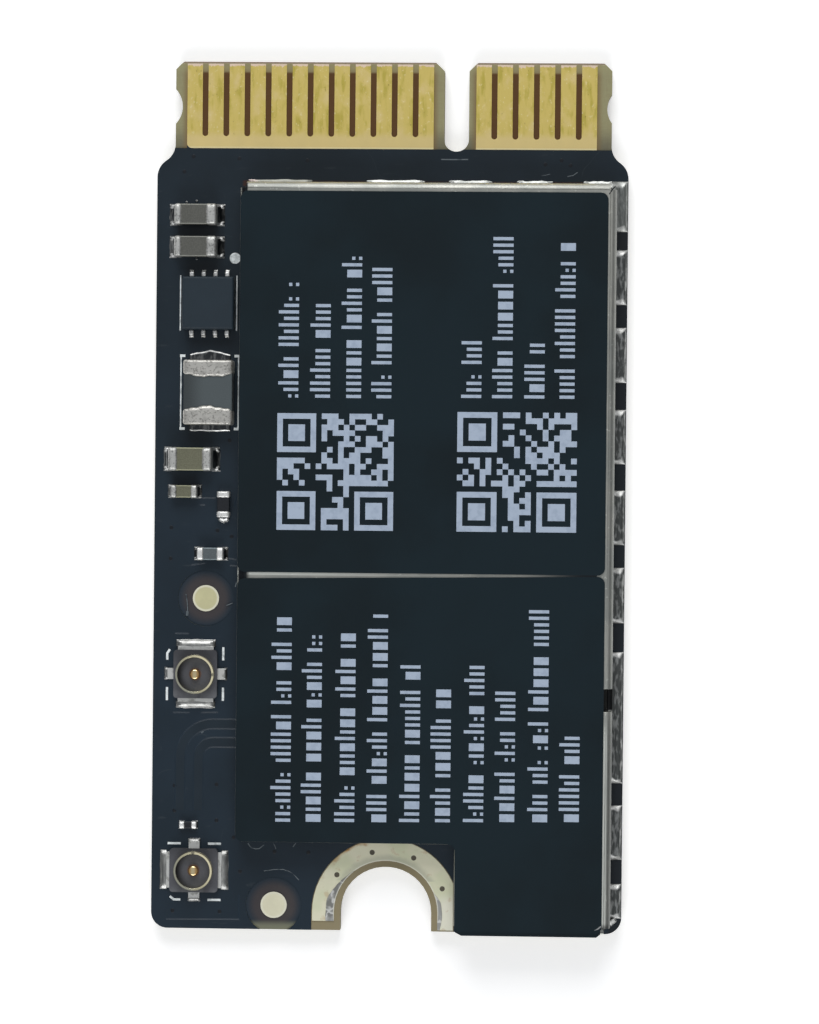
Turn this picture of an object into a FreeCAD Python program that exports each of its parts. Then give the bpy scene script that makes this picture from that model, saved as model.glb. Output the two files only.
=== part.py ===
"""Laptop wifi card: a keyed circuit board with a shield can, antenna sockets and chip parts.

The underside of the board lies on z = 0, +Y points out along the contact tongue and +Z out of the
component side. Lengths are in millimetres.
"""
import FreeCAD, Part
import math
import os
import re

import Sketcher

# Driving sizes: lengths in millimetres, angles in degrees, counts as whole numbers.
SIZES = {
    # circuit board
    "board_length": 33.0,
    "board_thickness": 0.8,
    "board_corner_radius": 0.62,
    "left_shoulder_depth": 0.68,
    "right_shoulder_depth": 0.65,
    "shoulder_rise": 0.474,
    "shoulder_radius": 0.75,
    "tongue_length": 3.54,
    "tongue_left_margin": 0.44,
    "tongue_right_margin": 0.56,
    "tip_corner_chamfer": 0.3,
    "tip_bevel_length": 0.09,
    "tip_bevel_depth": 0.12,
    "mask_setback": 3.3,
    "mask_step": 0.05,
    "key_slot_width": 0.94,
    "key_slot_depth": 3.38,
    "key_mouth_chamfer": 0.33,
    "latch_dent_radius": 0.95,
    "left_latch_dent_depth": 0.26,
    "right_latch_dent_depth": 0.18,
    "latch_dent_setback": 1.72,
    # edge contacts
    "contact_pitch": 0.8,
    "contact_slot_width": 0.22,
    "contact_root_bar": 0.46,
    "narrow_contact_root_bar": 0.39,
    "contact_thickness": 0.04,
    "wide_contact_count": 12,
    "narrow_contact_count": 6,
    "wide_contact_key_gap": 0.4,
    "narrow_contact_key_gap": 0.27,
    # screw notch and its plated ring
    "notch_radius": 1.735,
    "notch_inset": 0.7,
    "ring_notch_margin": 0.235,
    "ring_width": 0.83,
    "ring_top_flat": 2.66,
    "ring_side_flat": 2.56,
    "ring_left_leg_setback": 0.35,
    "ring_right_leg_setback": 0.05,
    "ring_mask_margin": 0.03,
    "ring_via_inset": 0.37,
    "ring_via_count": 4,
    "ring_via_diameter": 0.2,
    "ring_via_first_angle": 23.5,
    "ring_via_step_angle": 39.8,
    # fiducial discs
    "fiducial_radius": 0.5,
    "fiducial_opening_radius": 1.07,
    "fiducial_shield_gap": 0.21,
    "fiducial_part_gap": 0.38,
    "fiducial_ring_gap": 0.4,
    "fiducial_edge_gap": 0.93,
    # shield can
    "parts_lane": 3.27,
    "shield_side_margin": 0.43,
    "shield_mask_gap": 1.33,
    "shield_end_margin": 0.1,
    "shield_ring_clearance": 0.03,
    "shield_height": 1.25,
    "lid_sheet": 0.15,
    "lid_bend_radius": 0.25,
    "lid_corner_relief": 0.24,
    "lid_skirt_gap": 0.35,
    "lid_slot_rise": 8.4,
    "lid_slot_length": 0.86,
    "lid_slot_width": 0.32,
    "lid_slot_depth": 0.7,
    "lid_frame_clearance": 0.03,
    "frame_sheet": 0.15,
    "frame_lip": 0.6,
    "frame_bridge_setback": 15.0,
    "frame_bridge_width": 1.2,
    "foot_gap_width": 0.92,
    "foot_gap_height": 0.4,
    "foot_pitch": 3.0,
    "upper_foot_length": 1.76,
    "lower_foot_length": 1.81,
    "upper_foot_count": 6,
    "lower_foot_count": 2,
    "left_foot_count": 7,
    "end_foot_pitch": 2.55,
    "end_foot_length": 1.28,
    "end_foot_count": 3,
    "left_end_foot_length": 2.77,
    "wide_foot_gap_width": 2.04,
    "solder_skirt_clearance": 0.05,
    "solder_edge_margin": 0.03,
    "solder_crest": 0.06,
    "solder_end_slope": 0.12,
    "end_solder_reach": 0.3,
    # label films
    "label_thickness": 0.05,
    "label_corner_radius": 0.28,
    "label_side_margin": 0.03,
    "label_rim_margin": 0.32,
    "label_top_margin": 0.36,
    "upper_label_length": 14.38,
    "label_gap_left": 0.24,
    "label_gap_right": 0.05,
    # antenna sockets
    "socket_base_width": 1.66,
    "socket_base_length": 1.84,
    "socket_base_height": 0.3,
    "socket_base_round": 0.14,
    "socket_ring_radius": 0.74,
    "socket_ring_wall": 0.085,
    "socket_ring_height": 0.62,
    "socket_ring_seat": 0.1,
    "socket_groove_depth": 0.04,
    "socket_groove_height": 0.1,
    "socket_groove_rise": 0.38,
    "socket_tab_thickness": 0.12,
    "socket_ground_reach": 1.06,
    "socket_ground_width": 1.36,
    "socket_ground_root": 0.5,
    "socket_signal_reach": 1.1,
    "socket_signal_width": 0.42,
    "socket_strap_thickness": 0.08,
    "socket_pin_radius": 0.19,
    "socket_pin_height": 0.52,
    "socket_pin_round": 0.06,
    "upper_socket_gap": 0.75,
    "lower_socket_rise": 2.23,
    # chip parts in the lane beside the shield
    "end_cap_plating": 0.02,
    "chip_solder_reach": 0.2,
    "chip_solder_height": 0.3,
    "lane_top_gap": 2.15,
    "input_capacitor_length": 1.6,
    "input_capacitor_width": 0.8,
    "input_capacitor_height": 0.8,
    "input_capacitor_band": 0.31,
    "input_capacitor_inset": 0.74,
    "input_capacitor_gap": 0.42,
    "regulator_gap": 0.74,
    "regulator_width": 1.95,
    "regulator_length": 2.0,
    "regulator_height": 0.75,
    "regulator_chamfer": 0.05,
    "regulator_shield_gap": 0.26,
    "regulator_lead_count": 4,
    "regulator_lead_pitch": 0.45,
    "regulator_lead_width": 0.17,
    "regulator_lead_reach": 0.22,
    "regulator_lead_thickness": 0.15,
    "inductor_gap": 1.16,
    "inductor_length": 2.46,
    "inductor_width": 1.88,
    "inductor_height": 0.95,
    "inductor_band": 0.55,
    "inductor_shield_gap": 0.25,
    "output_capacitor_gap": 0.85,
    "output_capacitor_length": 1.65,
    "output_capacitor_width": 0.9,
    "output_capacitor_height": 0.85,
    "output_capacitor_band": 0.34,
    "output_capacitor_inset": 0.59,
    "small_chip_length": 1.0,
    "small_chip_width": 0.5,
    "small_chip_height": 0.5,
    "small_chip_band": 0.22,
    "feedback_capacitor_gap": 0.53,
    "feedback_capacitor_inset": 0.66,
    "feedback_resistor_gap": 0.76,
    "feedback_resistor_shield_gap": 0.37,
    "feedback_resistor_height": 0.35,
    "bypass_capacitor_gap": 1.13,
    "bypass_capacitor_shield_gap": 0.59,
    "matching_part_length": 0.66,
    "matching_part_width": 0.3,
    "matching_part_height": 0.25,
    "matching_part_band": 0.16,
    "matching_part_inset": 1.07,
    "matching_part_gap": 0.47,
    # chips under the shield
    "chip_wall_gap": 0.6,
    "chip_row_gap": 1.6,
    "chip_column_gap": 0.7,
    "module_row_gap": 1.2,
    "package_corner_cut": 0.3,
    "wifi_chip_side": 7.0,
    "wifi_chip_height": 0.85,
    "bluetooth_chip_side": 5.0,
    "bluetooth_chip_height": 0.8,
    "memory_chip_length": 2.0,
    "memory_chip_width": 3.0,
    "memory_chip_height": 0.6,
    "crystal_length": 2.0,
    "crystal_width": 2.5,
    "crystal_height": 0.6,
    "crystal_corner_radius": 0.25,
    "front_end_side": 2.5,
    "front_end_height": 0.75,
    "band_filter_length": 1.25,
    "band_filter_width": 2.0,
    "band_filter_height": 0.6,
    "decoupling_count": 6,
    "decoupling_pitch": 1.0,
    "decoupling_gap": 0.3,
}

# Places worked out from the driving sizes.
PLACES = {
    "overrun": "board_thickness",
    "wide_field_width": "wide_contact_count * contact_pitch - contact_slot_width",
    "narrow_field_width": "narrow_contact_count * contact_pitch - contact_slot_width",
    "tongue_width": "tongue_left_margin + wide_field_width + wide_contact_key_gap + key_slot_width"
                    " + narrow_contact_key_gap + narrow_field_width + tongue_right_margin",
    "board_width": "left_shoulder_depth + tongue_width + right_shoulder_depth",
    "board_left": "-board_width / 2",
    "board_right": "board_width / 2",
    "board_end": "-board_length / 2",
    "board_top": "board_thickness",
    "tip": "board_length / 2",
    "tongue_left": "board_left + left_shoulder_depth",
    "tongue_right": "board_right - right_shoulder_depth",
    "shoulder_top": "tip - tongue_length",
    "shoulder_bottom": "shoulder_top - shoulder_rise",
    "mask_edge": "tip - mask_setback",
    "copper_floor": "board_top - mask_step",
    "wide_field_left": "tongue_left + tongue_left_margin",
    "key_centre": "wide_field_left + wide_field_width + wide_contact_key_gap + key_slot_width / 2",
    "narrow_field_left": "key_centre + key_slot_width / 2 + narrow_contact_key_gap",
    "contact_tip": "tip - tip_bevel_length",
    "latch_dent": "tip - latch_dent_setback",
    "notch": "board_end + notch_inset",
    "ring_inner_radius": "notch_radius + ring_notch_margin",
    "ring_outer_radius": "ring_inner_radius + ring_width",
    "shield_left": "board_left + parts_lane",
    "shield_right": "board_right - shield_side_margin",
    "shield_top": "mask_edge - shield_mask_gap",
    "shield_end": "board_end + shield_end_margin",
    "shield_step_x": "ring_side_flat + ring_mask_margin + shield_ring_clearance",
    "shield_step_y": "notch + ring_top_flat + ring_mask_margin + shield_ring_clearance",
    "lid_top": "board_top + shield_height",
    "skirt_bottom": "board_top + lid_skirt_gap",
    "frame_inset": "lid_sheet + lid_frame_clearance",
    "frame_height": "shield_height - lid_sheet",
    "cavity_inset": "frame_inset + frame_sheet",
    "bridge": "shield_top - frame_bridge_setback",
    "label_left": "shield_left + label_side_margin",
    "label_right": "shield_right - label_rim_margin",
    "upper_label_top": "shield_top - label_top_margin",
    "upper_label_bottom": "upper_label_top - upper_label_length",
    "lane_centre": "board_left + parts_lane / 2",
    "input_capacitor_x": "board_left + input_capacitor_inset",
    "upper_input_y": "mask_edge - lane_top_gap - input_capacitor_width",
    "lower_input_y": "upper_input_y - input_capacitor_gap - input_capacitor_width",
    "regulator_x": "shield_left - regulator_shield_gap - regulator_width",
    "regulator_y": "lower_input_y - regulator_gap - regulator_length",
    "inductor_x": "shield_left - inductor_shield_gap - inductor_width",
    "inductor_y": "regulator_y - inductor_gap - inductor_length",
    "output_capacitor_x": "board_left + output_capacitor_inset",
    "output_capacitor_y": "inductor_y - output_capacitor_gap - output_capacitor_width",
    "feedback_capacitor_x": "board_left + feedback_capacitor_inset",
    "feedback_capacitor_y": "output_capacitor_y - feedback_capacitor_gap - small_chip_width",
    "feedback_resistor_x": "shield_left - feedback_resistor_shield_gap - small_chip_width",
    "feedback_resistor_y": "output_capacitor_y - feedback_resistor_gap - small_chip_length",
    "bypass_capacitor_x": "shield_left - bypass_capacitor_shield_gap - small_chip_length",
    "bypass_capacitor_y": "feedback_resistor_y - bypass_capacitor_gap - small_chip_width",
    "upper_fiducial_x": "shield_left - fiducial_shield_gap - fiducial_opening_radius",
    "upper_fiducial_y": "bypass_capacitor_y - fiducial_part_gap - fiducial_opening_radius",
    "lower_fiducial_x": "-ring_outer_radius - fiducial_ring_gap - fiducial_opening_radius",
    "lower_fiducial_y": "board_end + fiducial_edge_gap",
    "upper_socket_y": "upper_fiducial_y - fiducial_opening_radius - upper_socket_gap - socket_ground_reach",
    "lower_socket_y": "board_end + lower_socket_rise",
    "matching_part_x": "board_left + matching_part_inset",
    "matching_part_y": "lower_socket_y + socket_signal_reach + matching_part_gap",
    "chip_left": "shield_left + cavity_inset + chip_wall_gap",
    "chip_top": "shield_top - cavity_inset - chip_wall_gap",
    "wifi_chip_y": "chip_top - wifi_chip_side",
    "bluetooth_chip_y": "wifi_chip_y - chip_row_gap - bluetooth_chip_side",
    "memory_chip_y": "bluetooth_chip_y - chip_row_gap - memory_chip_length",
    "module_left": "chip_left + wifi_chip_side + chip_column_gap",
    "crystal_y": "chip_top - crystal_length",
    "upper_front_end_y": "crystal_y - module_row_gap - front_end_side",
    "lower_front_end_y": "upper_front_end_y - module_row_gap - front_end_side",
    "upper_filter_y": "lower_front_end_y - module_row_gap - band_filter_length",
    "lower_filter_y": "upper_filter_y - module_row_gap - band_filter_length",
    "decoupling_y": "wifi_chip_y - decoupling_gap - small_chip_length",
}

PREFIX = {**{name: "Sizes." + name for name in SIZES}, **{name: "Places." + name for name in PLACES}}
UP = FreeCAD.Vector(0, 0, 1)
# Share of the room on a wall that a fillet there may take.
FILLET_ROOM = 0.98
WEDGE_UPRIGHT = FreeCAD.Rotation(FreeCAD.Vector(1, 0, 0), 90)

doc = FreeCAD.newDocument("WifiCard")
nodes = []


def expand(text):
    """Give every size and place in an expression its full name."""
    return re.sub(r"[a-z_]+", lambda word: PREFIX.get(word[0], word[0]), text)


def number(text):
    """Work out an expression as a plain number."""
    return float(doc.Sizes.evalExpression(expand(text)))


def bind(item, bindings):
    """Tie properties of an object to expressions of sizes and places."""
    for name, text in bindings.items():
        item.setExpression(name, expand(text))


def keep(item):
    """Count an object as a sub-part with a file of its own."""
    nodes.append(item)
    return item


def fill_tables():
    """Write the driving sizes into the sheet and the places into their set."""
    sheet = doc.addObject("Spreadsheet::Sheet", "Sizes")
    for row, (name, value) in enumerate(SIZES.items(), start=1):
        sheet.set(f"A{row}", name)
        sheet.set(f"B{row}", str(value))
        sheet.setAlias(f"B{row}", name)
    places = doc.addObject("App::VarSet", "Places")
    for name in PLACES:
        places.addProperty("App::PropertyFloat", name)
    doc.recompute()
    bind(places, PLACES)
    doc.recompute()


# Primitives and booleans


def place(item, x, y, z):
    """Bind an object's position."""
    bind(item, {"Placement.Base.x": x, "Placement.Base.y": y, "Placement.Base.z": z})


def block(name, low, size):
    """Make a box from its low corner and its three sizes."""
    item = doc.addObject("Part::Box", name)
    place(item, *low)
    bind(item, dict(zip(("Length", "Width", "Height"), size)))
    return item


def disc(name, centre, radius, height):
    """Make an upright cylinder on a centre point."""
    item = doc.addObject("Part::Cylinder", name)
    place(item, *centre)
    bind(item, {"Radius": radius, "Height": height})
    return item


def group(name, pieces):
    """Gather separate solids in one object."""
    item = doc.addObject("Part::Compound", name)
    item.Links = pieces
    return item


def cut(name, base, tool):
    """Take one object away from another."""
    item = doc.addObject("Part::Cut", name)
    item.Base = base
    item.Tool = tool
    return item


def solder_wedge(name, foot, outward, reach, length, height):
    """Make a solder fillet that slopes from a wall's foot, with its ends sloped too."""
    item = doc.addObject("Part::Wedge", name)
    item.Placement.Rotation = FreeCAD.Rotation(UP, outward) * WEDGE_UPRIGHT
    place(item, *foot, "board_top")
    bind(item, {
        "Xmin": "0", "Xmax": reach, "X2min": "0", "X2max": "solder_crest",
        "Ymin": "0", "Ymax": height,
        "Zmin": f"-({length}) / 2", "Zmax": f"({length}) / 2",
        "Z2min": f"solder_end_slope - ({length}) / 2", "Z2max": f"({length}) / 2 - solder_end_slope",
    })
    return item


# Bodies, sketches and features


def new_body(name):
    """Start a body that becomes one sub-part."""
    return keep(doc.addObject("PartDesign::Body", name))


def sketch_at(body, name, height="0", role="XY_Plane"):
    """Add a sketch on one of the body's origin planes, raised along its normal."""
    sketch = body.newObject("Sketcher::SketchObject", f"{body.Name}_{name}")
    plane = next(item for item in body.Origin.OriginFeatures if item.Role == role)
    sketch.AttachmentSupport = [(plane, "")]
    sketch.MapMode = "FlatFace"
    bind(sketch, {"AttachmentOffset.Base.z": height})
    return sketch


def fix_point(sketch, geometry, point, x=None, y=None):
    """Hold a sketch point at expressions of its own plane."""
    for kind, text in (("DistanceX", x), ("DistanceY", y)):
        if text is not None:
            index = sketch.addConstraint(Sketcher.Constraint(kind, -1, 1, geometry, point, number(text)))
            bind(sketch, {f"Constraints[{index}]": text})


def draw_outline(sketch, corners):
    """Close a loop through corners, each (x, y) or, before an arc, (x, y, centre x, centre y, turn).

    The turn is "left" for an arc that runs anticlockwise and "right" for a clockwise one.
    """
    points = [FreeCAD.Vector(number(corner[0]), number(corner[1]), 0) for corner in corners]
    ends = []
    for corner, start, end in zip(corners, points, points[1:] + points[:1]):
        if len(corner) == 2:
            ends.append((sketch.addGeometry(Part.LineSegment(start, end)), 1, 2))
            continue
        middle = FreeCAD.Vector(number(corner[2]), number(corner[3]), 0)
        angles = [math.atan2(point.y - middle.y, point.x - middle.x) for point in (start, end)]
        circle = Part.Circle(middle, UP, middle.distanceToPoint(start))
        if corner[4] == "left":
            ends.append((sketch.addGeometry(Part.ArcOfCircle(circle, angles[0], angles[1])), 1, 2))
        else:
            ends.append((sketch.addGeometry(Part.ArcOfCircle(circle, angles[1], angles[0])), 2, 1))
    for corner, (geometry, first, last), (following, entry, _) in zip(corners, ends, ends[1:] + ends[:1]):
        sketch.addConstraint(Sketcher.Constraint("Coincident", geometry, last, following, entry))
        fix_point(sketch, geometry, first, corner[0], corner[1])
    for corner, (geometry, _, _), start, end in zip(corners, ends, points, points[1:] + points[:1]):
        if len(corner) > 2:
            level = abs(end.x - start.x) > abs(end.y - start.y)
            fix_point(sketch, geometry, 3, None if level else corner[2], corner[3] if level else None)


def draw_rectangle(sketch, left, bottom, right, top):
    """Close a rectangle between two corners."""
    draw_outline(sketch, [(left, bottom), (right, bottom), (right, top), (left, top)])


def draw_circle(sketch, x, y, radius):
    """Draw a circle on a centre point."""
    centre = FreeCAD.Vector(number(x), number(y), 0)
    geometry = sketch.addGeometry(Part.Circle(centre, UP, number(radius)))
    index = sketch.addConstraint(Sketcher.Constraint("Radius", geometry, number(radius)))
    bind(sketch, {f"Constraints[{index}]": radius})
    fix_point(sketch, geometry, 3, x, y)


def pad(body, sketch, length):
    """Grow a sketch along its normal."""
    feature = body.newObject("PartDesign::Pad", sketch.Name + "_pad")
    feature.Profile = sketch
    bind(feature, {"Length": length})
    doc.recompute()
    return feature


def pocket(body, sketch, depth=None, upward=False, both_ways=False):
    """Cut a sketch to a depth, or through all where none is given, and see that it cut."""
    before = body.Shape.Volume
    feature = body.newObject("PartDesign::Pocket", sketch.Name + "_pocket")
    feature.Profile = sketch
    feature.Reversed = upward
    if both_ways:
        feature.SideType = "Symmetric"
    if depth is None:
        feature.Type = "ThroughAll"
    else:
        bind(feature, {"Length": depth})
    doc.recompute()
    if not body.Shape.Volume < before:
        raise RuntimeError(f"{feature.Name} cut nothing")
    return feature


def repeat(body, feature, axis, pitch, count, backward=False):
    """Repeat a feature in a row along an axis of its own sketch."""
    pattern = body.newObject("PartDesign::LinearPattern", feature.Name + "_row")
    pattern.Originals = [feature]
    pattern.Direction = (feature.Profile[0], [axis])
    pattern.Reversed = backward
    pattern.Mode = "Spacing"
    bind(pattern, {"Offset": pitch, "Occurrences": count})
    body.Tip = pattern
    doc.recompute()
    return pattern


def upright_edges(body, spots):
    """Name the body's upright edges at the given (x, y) expressions."""
    places = [FreeCAD.Vector(number(x), number(y), 0) for x, y in spots]
    names = []
    for index, edge in enumerate(body.Tip.Shape.Edges, start=1):
        ends = [FreeCAD.Vector(vertex.X, vertex.Y, 0) for vertex in edge.Vertexes]
        if len(ends) == 2 and ends[0].isEqual(ends[1], 1e-6):
            if any(ends[0].isEqual(spot, 1e-6) for spot in places):
                names.append(f"Edge{index}")
    return names


def level_edges(body, height):
    """Name the body's edges that lie at one height."""
    level = number(height)
    return [
        f"Edge{index}"
        for index, edge in enumerate(body.Tip.Shape.Edges, start=1)
        if all(abs(vertex.Z - level) < 1e-6 for vertex in edge.Vertexes)
    ]


def blend_edges(body, name, kind, names, size):
    """Fillet or chamfer named edges of the body."""
    base = body.Tip
    feature = body.newObject(f"PartDesign::{kind}", f"{body.Name}_{name}")
    feature.Base = (base, names)
    bind(feature, {"Radius" if kind == "Fillet" else "Size": size})
    doc.recompute()
    return feature


# Circuit board


def ring_opening(margin, low_left, low_right):
    """Give the outline round the screw ring, its two flats and its straight legs."""
    radius = f"(ring_outer_radius + {margin})"
    top = f"(ring_top_flat + {margin})"
    side = f"(ring_side_flat + {margin})"
    half_flat = f"sqrt({radius} ^ 2 - {top} ^ 2)"
    return [
        (f"-{radius}", low_left),
        (f"-{radius}", "notch", "0", "notch", "right"),
        (f"-{half_flat}", f"notch + {top}"),
        (half_flat, f"notch + {top}", "0", "notch", "right"),
        (side, f"notch + sqrt({radius} ^ 2 - {side} ^ 2)"),
        (side, low_right),
    ]


def board_outline(body):
    """Pad the plate and cut the tongue, key slot, latch dents and screw notch out of its edge."""
    plate = sketch_at(body, "plate")
    draw_rectangle(plate, "board_left", "board_end", "board_right", "tip")
    pad(body, plate, "board_thickness")
    shoulders = sketch_at(body, "shoulders", "board_top")
    for tongue_side, board_side, outside in (
        ("tongue_left", "board_left", "board_left - overrun"),
        ("tongue_right", "board_right", "board_right + overrun"),
    ):
        draw_outline(shoulders, [
            (outside, "tip + overrun"),
            (tongue_side, "tip + overrun"),
            (tongue_side, "shoulder_top"),
            (board_side, "shoulder_bottom"),
            (outside, "shoulder_bottom"),
        ])
    pocket(body, shoulders)
    key_slot = sketch_at(body, "key_slot", "board_top")
    key_round = "tip - key_slot_depth + key_slot_width / 2"
    draw_outline(key_slot, [
        ("key_centre + key_slot_width / 2", "tip + overrun"),
        ("key_centre - key_slot_width / 2", "tip + overrun"),
        ("key_centre - key_slot_width / 2", key_round, "key_centre", key_round, "left"),
        ("key_centre + key_slot_width / 2", key_round),
    ])
    pocket(body, key_slot)
    dents = sketch_at(body, "latch_dents", "board_top")
    draw_circle(dents, "tongue_left + left_latch_dent_depth - latch_dent_radius", "latch_dent",
                "latch_dent_radius")
    draw_circle(dents, "tongue_right - right_latch_dent_depth + latch_dent_radius", "latch_dent",
                "latch_dent_radius")
    pocket(body, dents)
    notch = sketch_at(body, "screw_notch", "board_top")
    draw_outline(notch, [
        ("notch_radius", "board_end - overrun"),
        ("notch_radius", "notch", "0", "notch", "left"),
        ("-notch_radius", "notch"),
        ("-notch_radius", "board_end - overrun"),
    ])
    pocket(body, notch)


def board_edges(body):
    """Round the shoulders and end corners, and chamfer the tip and the mouth of the key slot."""
    for side, tongue_side, depth in (
        ("left", "tongue_left", "left_shoulder_depth"),
        ("right", "tongue_right", "right_shoulder_depth"),
    ):
        spots = [(tongue_side, "shoulder_top"), (f"board_{side}", "shoulder_bottom")]
        slant = f"sqrt({depth} ^ 2 + shoulder_rise ^ 2)"
        largest = f"{FILLET_ROOM} * {slant} / 2 * {depth} / ({slant} - shoulder_rise)"
        blend_edges(body, f"{side}_shoulder_round", "Fillet", upright_edges(body, spots),
                    f"min(shoulder_radius; {largest})")
    corners = [("board_left", "board_end"), ("board_right", "board_end")]
    blend_edges(body, "end_rounds", "Fillet", upright_edges(body, corners), "board_corner_radius")
    tips = [("tongue_left", "tip"), ("tongue_right", "tip")]
    blend_edges(body, "tip_chamfers", "Chamfer", upright_edges(body, tips), "tip_corner_chamfer")
    mouth = [("key_centre - key_slot_width / 2", "tip"), ("key_centre + key_slot_width / 2", "tip")]
    blend_edges(body, "key_mouth", "Chamfer", upright_edges(body, mouth), "key_mouth_chamfer")


def board_mask(body):
    """Sink the copper areas below the solder mask, bevel the tip and drill the ring's vias."""
    for face, height, upward in (("front", "board_top", False), ("rear", "0", True)):
        tongue = sketch_at(body, f"{face}_tongue", height)
        draw_rectangle(tongue, "board_left - overrun", "mask_edge", "board_right + overrun", "tip + overrun")
        pocket(body, tongue, "mask_step", upward)
        opening = sketch_at(body, f"{face}_ring_opening", height)
        draw_outline(opening, ring_opening("ring_mask_margin", "board_end - overrun", "board_end - overrun"))
        pocket(body, opening, "mask_step", upward)
    bevel = sketch_at(body, "tip_bevel", role="YZ_Plane")
    for face, inner in (
        ("copper_floor", "copper_floor - tip_bevel_depth"),
        ("mask_step", "mask_step + tip_bevel_depth"),
    ):
        draw_outline(bevel, [("contact_tip", face), ("tip", face), ("tip", inner)])
    pocket(body, bevel, both_ways=True)
    fiducials = sketch_at(body, "fiducial_openings", "board_top")
    draw_circle(fiducials, "upper_fiducial_x", "upper_fiducial_y", "fiducial_opening_radius")
    draw_circle(fiducials, "lower_fiducial_x", "lower_fiducial_y", "fiducial_opening_radius")
    pocket(body, fiducials, "mask_step")
    drill_ring(body, "board_top")


def drill_ring(body, height):
    """Drill the row of vias that follows the screw ring."""
    via = sketch_at(body, "via", height)
    bind(via, {"AttachmentOffset.Base.y": "notch"})
    radius = "(ring_inner_radius + ring_via_inset)"
    draw_circle(via, f"{radius} * cos(ring_via_first_angle)", f"{radius} * sin(ring_via_first_angle)",
                "ring_via_diameter / 2")
    hole = pocket(body, via)
    pattern = body.newObject("PartDesign::PolarPattern", f"{body.Name}_vias")
    pattern.Originals = [hole]
    pattern.Axis = (via, ["N_Axis"])
    pattern.Mode = "Spacing"
    bind(pattern, {"Offset": "ring_via_step_angle", "Occurrences": "ring_via_count"})
    body.Tip = pattern
    doc.recompute()


def build_board():
    """Make the circuit board."""
    body = new_body("circuit_board")
    board_outline(body)
    board_edges(body)
    board_mask(body)


# Copper: edge contacts, screw rings and fiducial discs


def contact_comb(name, left, width, count, root_bar):
    """Make a front field of contacts, parted by round-ended slots and joined at their root."""
    body = new_body(name)
    field = sketch_at(body, "field", "copper_floor")
    draw_rectangle(field, left, "mask_edge", f"{left} + {width}", "contact_tip")
    pad(body, field, "contact_thickness")
    slot = sketch_at(body, "slot", "copper_floor + contact_thickness")
    first = f"{left} + contact_pitch - contact_slot_width"
    round_end = f"mask_edge + {root_bar} + contact_slot_width / 2"
    middle = f"{first} + contact_slot_width / 2"
    draw_outline(slot, [
        (f"{first} + contact_slot_width", "tip"),
        (first, "tip"),
        (first, round_end, middle, round_end, "left"),
        (f"{first} + contact_slot_width", round_end),
    ])
    repeat(body, pocket(body, slot), "H_Axis", "contact_pitch", f"{count} - 1")


def rear_contacts(name, left, count):
    """Make a rear field of separate contacts."""
    body = new_body(name)
    finger = sketch_at(body, "finger", "mask_step - contact_thickness")
    draw_rectangle(finger, left, "mask_edge", f"{left} + contact_pitch - contact_slot_width", "contact_tip")
    repeat(body, pad(body, finger, "contact_thickness"), "H_Axis", "contact_pitch", count)


def screw_ring(name, height):
    """Make one plated ring round the screw notch, open at the board's end."""
    body = new_body(name)
    ring = sketch_at(body, "outline", height)
    left_end = "board_end + ring_left_leg_setback"
    right_end = "board_end + ring_right_leg_setback"
    draw_outline(ring, ring_opening("0", left_end, right_end) + [
        ("ring_inner_radius", right_end),
        ("ring_inner_radius", "notch", "0", "notch", "left"),
        ("-ring_inner_radius", "notch"),
        ("-ring_inner_radius", left_end),
    ])
    pad(body, ring, "contact_thickness")
    drill_ring(body, f"{height} + contact_thickness")


def build_copper():
    """Make the contacts, the screw rings and the fiducial discs."""
    contact_comb("front_contacts_wide", "wide_field_left", "wide_field_width", "wide_contact_count",
                 "contact_root_bar")
    contact_comb("front_contacts_narrow", "narrow_field_left", "narrow_field_width", "narrow_contact_count",
                 "narrow_contact_root_bar")
    rear_contacts("rear_contacts_wide", "wide_field_left", "wide_contact_count")
    rear_contacts("rear_contacts_narrow", "narrow_field_left", "narrow_contact_count")
    screw_ring("screw_ring_front", "copper_floor")
    screw_ring("screw_ring_rear", "mask_step - contact_thickness")
    for spot in ("upper", "lower"):
        centre = (f"{spot}_fiducial_x", f"{spot}_fiducial_y", "copper_floor")
        keep(disc(f"fiducial_{spot}", centre, "fiducial_radius", "contact_thickness"))


# Shield can


def shield_outline(inset):
    """Give the shield's stepped outline, drawn in by an inset."""
    left, right = f"shield_left + {inset}", f"shield_right - {inset}"
    end, top = f"shield_end + {inset}", f"shield_top - {inset}"
    step_x, step_y = f"shield_step_x + {inset}", f"shield_step_y + {inset}"
    return [(left, step_y), (step_x, step_y), (step_x, end), (right, end), (right, top), (left, top)]


def draw_edge_slot(sketch):
    """Draw the pry slot in the shield's right edge."""
    draw_rectangle(sketch, "shield_right - lid_slot_width", "shield_end + lid_slot_rise",
                   "shield_right + overrun", "shield_end + lid_slot_rise + lid_slot_length")


def build_lid():
    """Make the folded lid: a stepped plate with bent skirts, open corners and a slot in one bend."""
    body = new_body("shield_lid")
    shell = sketch_at(body, "shell", "skirt_bottom")
    draw_outline(shell, shield_outline("0"))
    pad(body, shell, "lid_top - skirt_bottom")
    blend_edges(body, "bends", "Fillet", level_edges(body, "lid_top"), "lid_bend_radius")
    inside = sketch_at(body, "inside", "skirt_bottom")
    draw_outline(inside, shield_outline("lid_sheet"))
    pocket(body, inside, "lid_top - skirt_bottom - lid_sheet", upward=True)
    reliefs = sketch_at(body, "corner_reliefs", "lid_top")
    for index, (x, y) in enumerate(shield_outline("0")):
        if index != 1:
            draw_rectangle(reliefs, f"{x} - lid_corner_relief", f"{y} - lid_corner_relief",
                           f"{x} + lid_corner_relief", f"{y} + lid_corner_relief")
    pocket(body, reliefs)
    slot = sketch_at(body, "edge_slot", "lid_top")
    draw_edge_slot(slot)
    pocket(body, slot)


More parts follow.
